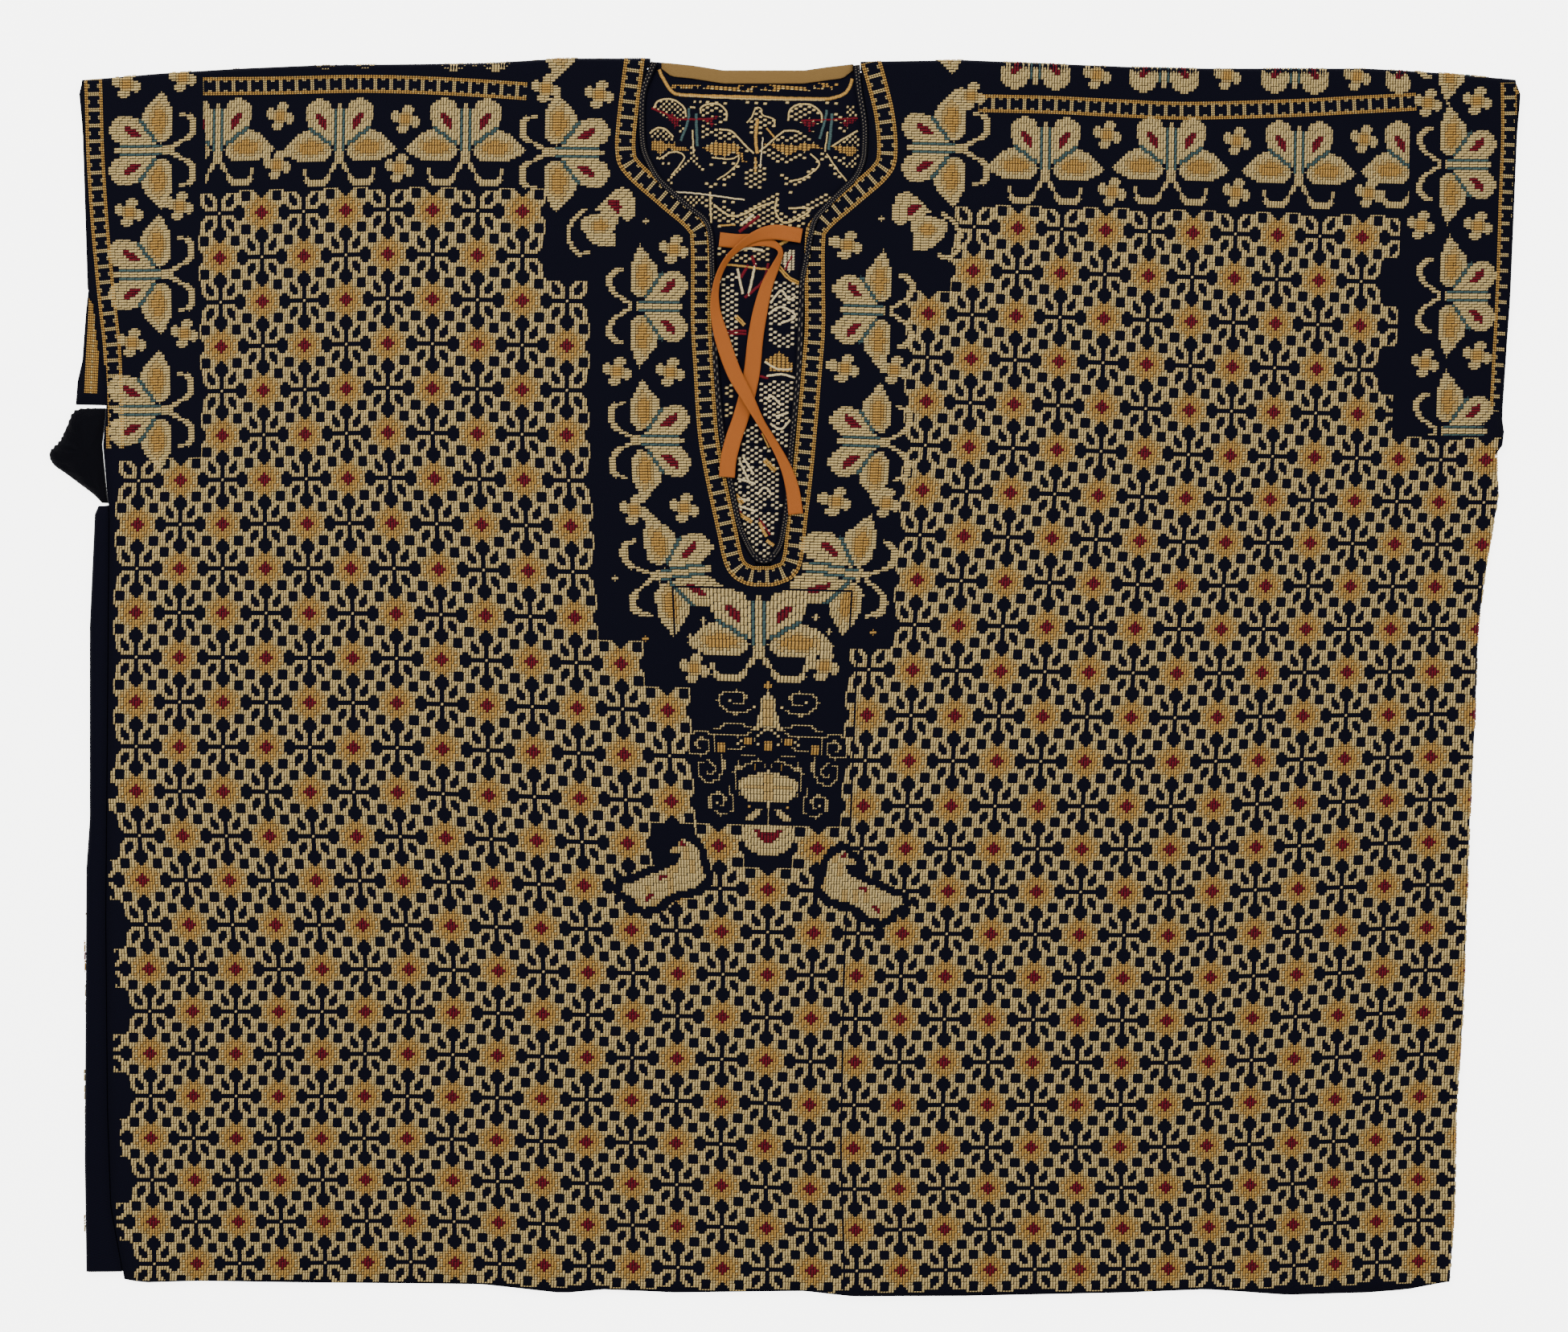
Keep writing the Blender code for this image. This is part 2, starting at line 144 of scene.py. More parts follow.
# Left side fold, where the back turns up to the seam: up, across
SIDE_FOLD = [
    (102, -408), (95, -411), (28, -414), (-87, -414), (-116, -416), (-289, -417),
    (-356, -416),
]
# Neck opening between its bound edges: up, left, right
NECK = [
    (366, -75, 41), (347, -82, 43), (328, -83, 46), (314, -82, 46), (306, -79, 45),
    (297, -74, 41), (289, -66, 33), (280, -56, 24), (272, -46, 17), (262, -42, 14),
    (245, -41, 11), (231, -40.5, 8.8), (186, -39, 7.2), (150, -36, 4), (130, -33, 2),
    (109, -29, 0.8), (90, -25, -1.5), (78, -20, -4), (72.5, -17, -7),
]
# Ends of the bound edge at the shoulder fold, and its turn at the end of the slit
NECK_TOP_LEFT = (-75.6, 363.4)
NECK_TOP_RIGHT = (41.4, 362.4)
SLIT_TURN = [(-14.5, 69.6), (-12, 69.0), (-9.5, 69.6)]
# Back neck edge: across, up
BACK_NECK = [(-75, 365), (-55, 363), (-36, 360), (12, 360), (26, 362), (43, 364)]

# Rows and columns of the back, and the two columns at the sides of the neck
BACK_LEVELS = [
    BACK_TOP, 350, 330, 310, 290, 270, 250, 232, 215, 200, 187, 174, SLEEVE_END + 0.5, SLEEVE_END,
    150, 141, 140, 137, 132, 120, 105, 101, SEAM_TOP, 95, 66, 28, 0, -30, -60, -87, -116, -145, -174,
    -203, -232, -260, -289, -318, -340, SEAM_END, SEAM_END - 0.5,
]
BACK_COLUMNS = [
    -395, -368, -340, -312, -285, -258, -230, -202, -175, -148, -120, -100, -79.6, -78, -66, -55, -45,
    -36, -24, -12, 0, 12, 19, 26, 33, 41, 45.2, 72, 100, 128, 155, 182, 210, 238, 265, 292, 320, 348, 375,
]
NECK_COLUMNS = (-78, 41)
NECK_DIP_REACH = 90.0
BACK_HEM_LEFT = -391.0

# Loose outer edge of the underarm gusset, from its top end round: across, up
GUSSET = [
    (-412, 158.5), (-423, 157), (-428, 147), (-432, 139), (-438, 132), (-436, 125),
    (-428, 119), (-420, 113), (-412, 107), (-407, 102),
]
# Layers and folds of the gusset: inset from its outline, z
GUSSET_RINGS = [(0.3, 0), (0.3, 1.2), (1.0, 1.6), (0.1, 2.0), (0.5, 3.0), (1.6, 3.9), (3.4, 4.7),
                (5.5, 5.3), (8, 5.6), (11, 5.8)]
GUSSET_SEAM = (101.5, 108, 114, 120, 125, 131, 137, 146, 154, 158.5)
GUSSET_CENTRE = (-417.0, 132.0)
GUSSET_CROWN = 6.0

# Section of the neck binding: share of its width, share of half its height
BINDING_SECTION = [
    (0.0, -0.5), (0.2, -0.8), (0.8, -0.8), (1.0, -0.5), (1.0, 0.4), (0.88, 0.85), (0.66, 1.0),
    (0.4, 1.0), (0.15, 0.86), (0.0, 0.4),
]

# Tie from the right of the slit: across, up, z, width, tilt of its face
RIGHT_TIE = [
    (10.5, 261, 3.6, 8.6, 0),
    (4, 262, 4.6, 8.8, 0),
    (-7, 263, 4.8, 8.8, 10),
    (-18, 260, 4.9, 6.6, 25),
    (-28, 253, 5.6, 4.6, 40),
    (-35, 245, 6.6, 4.6, 45),
    (-40, 233, 6.8, 4.4, 35),
    (-41, 218, 6.2, 6.0, 20),
    (-37, 200, 6.0, 8.6, 0),
    (-30, 180, 5.8, 8.8, 0),
    (-22, 165, 5.6, 7.6, 10),
    (-14, 150, 5.2, 5.6, 30),
    (-6, 137, 4.8, 5.6, 30),
    (1, 123, 5.8, 6.6, 15),
    (5, 110, 5.6, 8.0, 0),
    (7, 95, 5.2, 8.8, 0),
]
# Tie from the left of the slit, under the other: across, up, z, width, tilt
LEFT_TIE = [
    (-38.5, 259, 2.8, 8.6, 0),
    (-28, 258, 2.7, 8.4, 0),
    (-16, 258.5, 2.6, 7.0, 0),
    (-6, 256, 2.7, 4.4, 0),
    (-2, 251, 3.9, 3.6, 35),
    (-5, 243, 4.0, 5.0, 20),
    (-10, 232, 2.9, 7.0, 0),
    (-14, 217, 2.7, 8.6, 0),
    (-17, 200, 2.7, 9.2, 0),
    (-19, 181, 2.7, 9.6, 0),
    (-22, 166, 2.8, 9.6, 0),
    (-26, 152, 3.4, 9.4, 0),
    (-30, 140, 5.2, 9.6, 0),
    (-33, 128, 5.7, 9.6, 0),
    (-34, 117, 5.7, 9.4, 0),
]

# Soft ridges in the front: across, up, half length, half width, turned, height
RIDGES = [
    (-250, 60, 150, 40, 75, 2.2),
    (-120, -180, 170, 38, 82, 2.0),
    (60, -200, 160, 35, 95, 1.8),
    (210, -40, 190, 45, 100, 2.4),
    (300, -250, 120, 35, 88, 1.6),
    (-300, -270, 110, 34, 92, 1.5),
    (180, 180, 110, 40, 70, 1.8),
    (-230, 230, 90, 36, 110, 1.6),
    (-130, -350, 60, 22, 90, 1.6),
    (40, -352, 70, 24, 88, 1.8),
    (300, -350, 60, 24, 90, 1.6),
]

# Threads, in the order of their rows on the thread map
THREADS = ("cream", "gold", "red", "teal", "honey", "navy", "white", "brown")
CREAM, GOLD, RED, TEAL, HONEY, _, WHITE, BROWN = range(1, 9)
MAP_STITCHES = 32
# Half widths, in stitches, of a line one stitch wide and of a feeler
THIN_LINE = 0.62
FEELER_LINE = 0.95
# How far a stitch's crown starts from its ends, as a share of a stitch
STITCH_TIP = 0.34
THREAD_ROWS = MAP_STITCHES // len(THREADS)

# Where the counted ground lies: its first star, and how far a row leans
STAR_ACROSS = -196.8
STAR_UP = -97.25
LEAN_ACROSS = 0.0201
LEAN_UP = -0.0129
REPEAT = 16

# How the cloth is pulled out of true, in millimetres: a row for each count of stitches up the
# garment, a column for each count across it
PULL_ACROSS = (-112, -16, 96, 128, 256, 352)
PULL_UP = (-160, -112, -48, 16, 80, 144, 240)
PULL_SIDEWAYS = (
    (11.5, 4.3, 3.4, 3.4, 2.4, -8.6),
    (8.6, 1, 1.4, 0.5, -1, -10),
    (6.2, 1, 1.4, 1, -0.5, -6.7),
    (-2.9, -7.2, -3.4, 4.3, 0, -5.3),
    (-4.3, -9.1, -9.6, 7.2, 3.8, -4.8),
    (-3.4, -15.4, -15.8, 12.5, 8.2, -1.4),
    (-8.6, -17.3, -16.8, 14.4, 9.6, 1),
)
PULL_UPWARD = (
    (1.9, 4.3, 1.9, 1, 3.8, 9.6),
    (-0.5, 0.5, -1.4, -3.4, -1, 5.3),
    (-2.9, -1.9, -3.4, -3.4, -3.8, 2.4),
    (0, 0.5, -4.3, -5.8, -4.3, 1),
    (3.4, 3.8, 1.4, 0, -1.9, -0.5),
    (4.8, 8.6, 7.7, 4.8, -1, -2.9),
    (8.6, 13.4, 12.5, 6.7, 2.9, 0),
)

# A quarter of each repeat, from the outer row in to its middle row
STAR_QUARTER = (
    "...cccccc",
    "..ccc...c",
    ".hhcc...c",
    "hghcc...c",
    "ggghhcccc",
    "gghghhccc",
    "rggghghc.",
    "rrgggch..",
    "rrrgghh..",
)
FLOWER_QUARTER = (
    "...cccccc",
    "...cccccc",
    "..ccc.ccc",
    ".ccc..ccc",
    ".cc...ccc",
    ".cc..cccc",
    ".cccccc..",
    ".ccccc...",
    "c........",
)
LETTERS = {".": 0, "c": CREAM, "g": GOLD, "r": RED, "h": HONEY}

# Rows of the star ground, counted up: row, first and last repeat left of the neck, then right
GROUND_ROWS = [
    (14, -5, 2, 11, 20), (13, -5, 2, 11, 20), (12, -5, 3, 10, 20), (11, -5, 3, 10, 20),
    (10, -5, 3, 10, 20), (9, -5, 3, 10, 23), (8, -7, 3, 10, 24), (7, -7, 3, 10, 24),
    (6, -7, 3, 10, 24), (5, -7, 3, 10, 24), (4, -7, 4, 9, 24), (3, -7, 5, 9, 24),
    (2, -7, 5, 9, 24), (1, -7, 5, 9, 24), (0, -7, 4, 8, 24), (-1, -7, 3, 11, 24),
    (-2, -7, 10, 11, 24), (-3, -7, 10, 11, 24), (-4, -7, 10, 11, 24), (-5, -7, 10, 11, 24),
    (-6, -7, 10, 11, 24), (-7, -7, 10, 11, 24), (-8, -7, 10, 11, 24), (-9, -7, 10, 11, 24),
    (-10, -7, 10, 11, 24),
]
# Parts of repeats at the ground's ragged sides: repeat, row, first and last column of it
GROUND_PARTS = [(21, 14, -7, -2), (21, 12, -7, -2), (21, 10, -7, -3), (-8, 1, 5, 7), (-8, -1, 4, 7),
                (-8, -3, 4, 7), (-8, -5, 3, 7), (-8, -7, 5, 7), (-8, -9, 3, 7)]
# Its chart, in stitches: left, low, right, high, and where it is parted in two pieces
GROUND_BOX = (-130, -184, 410, 250)
GROUND_SPLIT = 140
# Single repeats of the ground that stand apart from its rows: repeat, row
GROUND_EXTRA = [(6, 0), (6, -1), (7, -1), (8, -1), (4, -1), (5, -1), (9, -1), (10, -1)]

# Ground of the underside: its box, repeats and rows, bare cloth at its edges, its top end
UNDER_ACROSS = (-404, 424)
UNDER_UP = (-366, 352)
UNDER_REPEATS = (-10, 30)
UNDER_ROWS = (-13, 20)
UNDER_BARE = (12, 14, 6)
UNDER_TOP = 346

# Butterfly, half of it: stitches out from its body and down from its head end
UPPER_WING = [(2.2, 3.4), (4.8, 0.3), (7.4, -0.3), (10.6, 0.4), (12.6, 2.6), (13.4, 5.4), (13, 7.8),
              (11.6, 10.2), (2.2, 18.2)]
LOWER_WING = [(2.5, 19), (5.4, 15.6), (9.4, 12.2), (11, 11.6), (14.2, 11.8), (22.6, 19.4),
              (18, 21.9), (14.7, 23.7), (6.2, 23.7), (2.9, 20.6)]
WING_SPOT = [(4.5, 10.9), (5.4, 7.8), (7.2, 5.4), (9.6, 5.2), (9.2, 7.2), (7, 9.6), (5.6, 11.2)]
WING_LINE = [(12, 10.4), (3.2, 17)]
# Gold heart of its lower wing: out, down, half width, half height
WING_CORE = (10.8, 18.2, 4.6, 2.3)
# Bars of its body: thread, nearest and farthest out, top, foot
BODY_BARS = [(TEAL, 1, 2.1, 3.4, 19.4), (CREAM, 0, 1, 1.6, 21.4), (CREAM, 0, 1.4, 1.6, 3.6),
             (CREAM, 0, 2.4, 19.4, 21.4)]
FEELER_KNOB = 29
FEELER = [(0.8, 22.6), (2.7, 26.5), (5.2, 29.8), (7, 31.4), (10.4, 31.4), (12, 29.6), (13.4, 26.2)]

# Butterflies: across and up of the head end, turned, and length where it is shortened
BUTTERFLIES = {
    "left_sleeve_border": [(-402, 313, 90), (-402, 239, 90), (-402, 158, 90)],
    "left_shoulder_border": [(-337, 343, 0), (-264.5, 343, 0), (-188, 343, 0), (-339, 361.5, 180),
                             (-262.6, 360.6, 180), (-185.8, 358.5, 180)],
    "right_shoulder_border": [(157.5, 332, 0), (232, 331, 0), (308.5, 329, 0), (379.5, 329, 0),
                              (149, 348, 180), (225.5, 346.5, 180), (303, 345.5, 180),
                              (377, 344.5, 180)],
    "right_sleeve_border": [(424, 375.5, -90, 0.88), (424, 302, -90, 0.88), (424, 224, -90, 0.88),
                            (422, 144, -90, 0.88)],
    "neck_border": [(-103, 388, -90), (70, 393, 90), (-103, 310, -90), (-57, 218, -90, 0.88),
                    (-57, 138, -90, 0.9), (-38.5, 62, -81), (70, 314.5, 90),
                    (28.5, 219, 90, 0.88), (28, 140.5, 90, 0.9), (6, 66, 80), (-14, 49, 0)],
}
# Chart of the borders, and the block that a butterfly takes, in stitches
BORDER_BOX = (-150, -20, 410, 300)
BUTTERFLY_BLOCK = 68
# Lower end of the right sleeve's border
SLEEVE_BORDER_FOOT = 142
# The butterfly below the slit, sewn upright: its top end, and half its width in stitches
END_TOP = (-14, 52)
END_HALF = 27
# How far across each shoulder's border may run: least, most
BORDER_ENDS = {"left_shoulder_border": (-346.0, -138.0), "right_shoulder_border": (112.0, 373.0)}
# Pinwheels: across, up
PINWHEELS = {
    "left_sleeve_border": [(-359, 355), (-392, 351), (-360, 279), (-390, 275), (-388, 197),
                           (-357, 202)],
    "left_shoulder_border": [(-300, 333), (-302, 303), (-226, 331), (-229, 302)],
    "right_shoulder_border": [(270, 318), (346, 319), (270, 287), (348, 287), (192, 321),
                              (195, 288), (342, 356), (187, 357), (264, 356.5)],
    "right_sleeve_border": [(380, 267), (413, 267), (382, 185), (413, 190), (384, 340),
                            (414, 342)],
    "neck_border": [(-141, 349), (-110, 345.6), (112, 345), (-66, 253), (-100, 180),
                    (-68, 180.5), (-90, 98), (-59, 99.3), (38, 256), (37, 182), (65, 181),
                    (31, 102), (61, 101), (-54, 3), (25, 5)],
}

# Bands: rows of stitches, pitch along, pitch of the rows round the neck, elsewhere, behind
BAND_ROWS = 9
BAND_PITCH = 1.56
NECK_BAND_ROW = 1.44
BAND_ROW = 1.26
BACK_BAND_ROW = 1.2
# Middle line of the band round the neck: across, up
NECK_BAND = [
    (-88.8, 368), (-93, 335), (-94.5, 312), (-90, 301), (-70, 283), (-53, 268), (-49.6, 256),
    (-49.4, 210), (-48, 184), (-45.6, 146), (-41.8, 122), (-34.6, 88), (-29.3, 66),
    (-21.6, 59), (-13, 58), (-4.3, 59), (4.3, 66), (8.2, 95), (12, 128), (16.8, 184),
    (18.5, 210), (18.4, 256), (22, 268), (40, 284), (57, 299), (61.5, 310), (59.5, 335),
    (51.4, 366),
]

# Floor in metres; lights: name, place, watts, size; camera's lens, sensor and view
FLOOR_SIZE = 8
FLOOR_CLEAR = 0.0004
LIGHTS = (("key", (-0.9, 1.1, 1.9), 46, 1.2), ("fill", (1.3, 0.5, 1.7), 18, 1.6))
LENS, SENSOR = 85, 36
VIEW_WIDTH, VIEW_UP = 0.936, 0.00456


def value(rows, at, column=1):
    """Reads one column of a table between its rows."""
    rows = sorted(rows)
    return np.interp(at, [r[0] for r in rows], [r[column] for r in rows])


def smooth_rows(rows, count):
    """Rows along a smooth curve through all of a table's rows."""
    rows = np.array(rows, float)
    spans = len(rows) - 1
    out = []
    for at in np.linspace(0, spans, count):
        i = min(int(at), spans - 1)
        t = at - i
        before, here, after, last = (rows[k] for k in (max(i - 1, 0), i, i + 1, min(i + 2, spans)))
        out.append(0.5 * (2 * here + (after - before) * t
                          + (2 * before - 5 * here + 4 * after - last) * t ** 2
                          + (3 * here - before - 3 * after + last) * t ** 3))
    return np.array(out)


def run_along(points):
    """Length of a route up to each of its points."""
    return np.concatenate(([0], np.cumsum(np.linalg.norm(np.diff(points, axis=0), axis=1))))


def even_rows(rows, pitch):
    """Rows at an even pitch along a table's route."""
    fine = smooth_rows(rows, 40 * len(rows))
    run = run_along(fine[:, :2])
    marks = np.linspace(0, run[-1], max(2, round(run[-1] / pitch) + 1))
    return np.stack([np.interp(marks, run, fine[:, k]) for k in range(fine.shape[1])], 1)


def directions(path):
    ways = np.gradient(np.asarray(path, float)[:, :2], axis=0)
    return ways / np.linalg.norm(ways, axis=1)[:, None]


def scatter(*counts):
    """A steady number from 0 to 1 for each set of whole numbers."""
    total = sum(np.asarray(c) * k for c, k in zip(counts, (12.9898, 78.233, 37.719)))
    return np.abs(np.sin(total) * 43758.5453) % 1.0


def frame_shift():
    """From the garment's own places to the frame's, in millimetres."""
    low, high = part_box("back_neck_tape")
    middle = (low.x + high.x) / 2 / MM - sum(TAPE_ENDS) / 2
    return np.array((middle, high.y / MM - TAPE_TOP, 0.0))


SHIFT = frame_shift()


def front_height(x, y):
    """Top of the front panel: flat on the back, with ridges, and fuller at its folds."""
    x, y = np.asarray(x, float), np.asarray(y, float)
    ridges = np.zeros(np.broadcast(x, y).shape)
    for across, up, long, wide, turned, height in RIDGES:
        a = math.radians(turned)
        along = (x - across) * math.cos(a) + (y - up) * math.sin(a)
        aside = (y - up) * math.cos(a) - (x - across) * math.sin(a)
        ridges = ridges + height * np.exp(-(along / long) ** 2 - (aside / wide) ** 2)
    to_top = value(TOP_FOLD, x) - FOLD_RADIUS - y
    to_side = value(FRONT_RIGHT, y) - FOLD_RADIUS - x
    near = np.exp(-np.maximum(to_top, 0) / FOLD_REACH)
    near_side = np.where(y < SIDE_FOLD_TOP + FOLD_REACH,
                         np.exp(-np.maximum(to_side, 0) / FOLD_REACH), 0)
    near = np.maximum(near, near_side)
    return FRONT_TOP + ridges * (1 - near) + FOLD_RISE * near


def on_front(x, y, lift):
    """A point of the front, measured on the cloth, which turns under at its two folds."""
    x, y, lift = np.broadcast_arrays(*(np.asarray(p, float) for p in (x, y, lift)))
    top = value(TOP_FOLD, x) - FOLD_RADIUS
    side = np.where(y < SIDE_FOLD_TOP, value(FRONT_RIGHT, y) - FOLD_RADIUS, 1e4)
    over_top, over_side = np.maximum(y - top, 0), np.maximum(x - side, 0)
    z = front_height(np.minimum(x, side), np.minimum(y, top)) + lift
    radius = FOLD_RADIUS + lift
    turn = np.maximum(over_top, over_side) / FOLD_RADIUS
    turned = turn > 0
    out = radius * np.sin(turn)
    z = np.where(turned, FOLD_RADIUS + radius * np.cos(turn), z)
    y = np.where(over_top > 0, top + out, y)
    x = np.where((over_side > 0) & (over_top <= 0), side + out, x)
    return np.stack([x, y, z], -1)


def stitch_pitch():
    """Width and height of a stitch, in millimetres."""
    size = bpy.context.scene.tunic_stitches
    return size.across / MM, size.up / MM


def stitch_place(u, v):
    """Across and up of a place in the counted ground."""
    u, v = np.asarray(u, float), np.asarray(v, float)
    wide, high = stitch_pitch()

    def pull(rows):
        cu = np.clip(u, PULL_ACROSS[0], PULL_ACROSS[-1])
        cv = np.clip(v, PULL_UP[0], PULL_UP[-1])
        a = np.clip(np.searchsorted(PULL_ACROSS, cu, side="right") - 1, 0, len(PULL_ACROSS) - 2)
        b = np.clip(np.searchsorted(PULL_UP, cv, side="right") - 1, 0, len(PULL_UP) - 2)
        across, up, rows = np.array(PULL_ACROSS), np.array(PULL_UP), np.array(rows)
        s = (cu - across[a]) / (across[a + 1] - across[a])
        t = (cv - up[b]) / (up[b + 1] - up[b])
        low = rows[b, a] * (1 - s) + rows[b, a + 1] * s
        high = rows[b + 1, a] * (1 - s) + rows[b + 1, a + 1] * s
        return low * (1 - t) + high * t

    x = STAR_ACROSS + wide * u + LEAN_ACROSS * v + pull(PULL_SIDEWAYS)
    y = STAR_UP + LEAN_UP * u + high * v + pull(PULL_UPWARD)
    return x, y


def place_on_front(u, v, lift):
    return on_front(*stitch_place(u, v), lift)


def place_inside_back(u, v, lift):
    """On the back panel's inner face, seen through the neck."""
    x, y = stitch_place(u, v)
    return np.stack([x, y, WALL + lift], -1)


def stitch_at(x, y):
    """The stitch that covers a place on the front, found by steps."""
    wide, high = stitch_pitch()
    u, v = (x - STAR_ACROSS) / wide, (y - STAR_UP) / high
    for _ in range(12):
        px, py = stitch_place(u, v)
        u, v = u + (x - px) / wide, v + (y - py) / high
    return int(round(float(u))), int(round(float(v)))


class Chart:
    """A counted chart: a thread for each stitch of a block of ground."""

    def __init__(self, left, low, right, high):
        self.left, self.low = left, low
        self.right, self.high = right, high
        self.cells = np.zeros((high - low, right - left), np.int8)

    def grid(self):
        rows, columns = self.cells.shape
        v, u = np.mgrid[0:rows, 0:columns]
        return u + self.left, v + self.low

    def draw(self, u0, v0, threads, keep=False):
        """Lays a small block of threads centred on a stitch; keep leaves what is there."""
        rows, columns = threads.shape
        top, side = v0 - rows // 2 - self.low, u0 - columns // 2 - self.left
        r0, c0 = max(top, 0), max(side, 0)
        r1, c1 = min(top + rows, self.cells.shape[0]), min(side + columns, self.cells.shape[1])
        if r1 <= r0 or c1 <= c0:
            return
        part = threads[r0 - top:r1 - top, c0 - side:c1 - side]
        here = self.cells[r0:r1, c0:c1]
        here[:] = np.where((part > 0) & ((here == 0) if keep else True), part, here)


def inside(outline, x, y):
    """Which places lie in a closed outline."""
    points = np.array(outline, float)
    hit = np.zeros(np.shape(x), bool)
    for (x0, y0), (x1, y1) in zip(points, np.roll(points, -1, axis=0)):
        if y0 != y1:
            crosses = ((y0 > y) != (y1 > y)) & (x < (x1 - x0) * (y - y0) / (y1 - y0) + x0)
            hit ^= crosses
    return hit


def along(route, x, y, half):
    """Which places lie within half a width of a route of straight runs."""
    points = np.array(route, float)
    near = np.zeros(np.shape(x), bool)
    for (x0, y0), (x1, y1) in zip(points[:-1], points[1:]):
        run = (x1 - x0) ** 2 + (y1 - y0) ** 2
        t = np.clip(((x - x0) * (x1 - x0) + (y - y0) * (y1 - y0)) / run, 0, 1)
        near |= np.hypot(x - x0 - t * (x1 - x0), y - y0 - t * (y1 - y0)) <= half
    return near


def oval(core, x, y):
    """How far places lie from the middle of an oval, whose edge is at 1."""
    across, up, half_width, half_height = core
    return np.hypot((x - across) / half_width, (y - up) / half_height)


def butterfly(across, down, column):
    """The threads of a butterfly at places measured from its head end."""
    out = np.abs(across + 0.5)
    threads = np.zeros(out.shape, np.int8)
    threads[inside(UPPER_WING, out, down) | inside(LOWER_WING, out, down)] = CREAM
    core = oval(WING_CORE, out, down)
    threads[(core + 0.5 * scatter(column, np.floor(down)) < 1.6) & (threads == CREAM)] = HONEY
    threads[(core < 1) & (threads > 0)] = GOLD
    threads[inside(WING_SPOT, out, down)] = RED
    threads[along(WING_LINE, out, down, THIN_LINE)] = TEAL
    for thread, near, far, top, foot in BODY_BARS:
        threads[(out >= near) & (out < far) & (down > top) & (down < foot)] = thread
    threads[along(FEELER, out, down, np.where(down > FEELER_KNOB, 1.6, FEELER_LINE))] = CREAM
    return threads


def turned_motif(motif, size, turned, length=1.0):
    """A motif on a square block of stitches, turned about the block's middle."""
    half = size // 2
    v, u = np.mgrid[-half:half + 1, -half:half + 1]
    a = math.radians(turned)
    across = u * math.cos(a) + v * math.sin(a)
    up = v * math.cos(a) - u * math.sin(a)
    return motif(across, -up / length, u)


def pinwheel():
    """Four lobes that lean round a gold middle."""
    block = np.zeros((11, 11), np.int8)
    lobe = [*((u, v) for v in (3, 4) for u in range(-1, 4)), (0, 5), (1, 5), (2, 5)]
    for u, v in lobe:
        for _ in range(4):
            u, v = v, -u
            block[5 + v, 5 + u] = CREAM
    block[3:8, 3:8] = HONEY
    block[4:7, 4:7] = GOLD
    block[3, 3] = block[3, 7] = block[7, 3] = block[7, 7] = CREAM
    return block


def quarter(rows):
    """A whole repeat from its quarter."""
    part = np.array([[LETTERS[c] for c in row] for row in rows[::-1]], np.int8)
    v, u = np.mgrid[-8:9, -8:9]
    return part[np.abs(v), np.abs(u)]


# Half butterflies that lean by the neck's corners, on squares of LEAN_SQUARE from a corner
LEAN_CORNER = (-160.8, 315.8)
LEAN_SQUARE = 1.301
# Line about which the left one is mirrored, and how much lower the right one lies
LEAN_MIRROR = -11.8
LEAN_DROP = 2.4
LEAN_CORE = (39.5, 37.5, 3.2, 2.8)
LEAN_FEELER_HALF = 1.3
LEAN_WINGS = [
    [(37, 30), (43, 23.5), (49, 19), (54, 21.5), (56.5, 27), (56, 33), (52, 36.5), (49.5, 34.5),
     (47, 32), (43, 31)],
    [(31, 33.5), (36, 31.5), (43, 31), (47.5, 32), (48.5, 36), (46, 40), (47, 47), (42, 47.5),
     (37, 46.5), (32.5, 42), (30, 38)],
]
LEAN_FEELER = [(32.5, 30), (27, 34.5), (24.5, 40), (26, 47), (30, 51), (34.5, 49.2)]
LEAN_SPOT = [(42.5, 26.5), (47, 25.5), (49, 28.5), (48, 32), (46, 30), (44, 28.5)]
# Little crosses: thread, across, up
CROSSES = [
    (CREAM, -100.3, 57.6), (CREAM, -48, 32.2), (CREAM, -56.6, 21.6), (CREAM, 18.7, 33.6),
    (CREAM, 26.9, 24.5), (GOLD, -82.6, 21.1), (CREAM, -81.6, 269.3), (CREAM, 58, 271.7),
    (CREAM, -99.5, 133), (CREAM, 77, 127), (GOLD, 53, 24),
]


def draw_half_butterflies(chart):
    """The leaning half butterflies at both sides of the neck, and the border's small crosses."""
    x, y = stitch_place(*chart.grid())
    for side in (1, -1):
        across = x if side > 0 else 2 * LEAN_MIRROR - x
        a = (across - LEAN_CORNER[0]) / LEAN_SQUARE
        d = (LEAN_CORNER[1] - y - (0 if side > 0 else LEAN_DROP)) / LEAN_SQUARE
        for wing in LEAN_WINGS:
            chart.cells[inside(wing, a, d)] = CREAM
        chart.cells[along(LEAN_FEELER, a, d, LEAN_FEELER_HALF)] = CREAM
        chart.cells[inside(LEAN_SPOT, a, d)] = RED
        core = oval(LEAN_CORE, a, d)
        chart.cells[core < 1.3] = HONEY
        chart.cells[core < 0.9] = GOLD
    for thread, x, y in CROSSES:
        cross = np.zeros((3, 3), np.int8)
        cross[1, :] = cross[:, 1] = thread
        chart.draw(*stitch_at(x, y), cross, keep=True)


def ground_spots():
    """Repeats and rows of the front's ground."""
    spots = set(GROUND_EXTRA)
    for row, a, b, c, d in GROUND_ROWS:
        spots |= {(i, row) for i in (*range(a, b + 1), *range(c, d + 1))}
    return spots


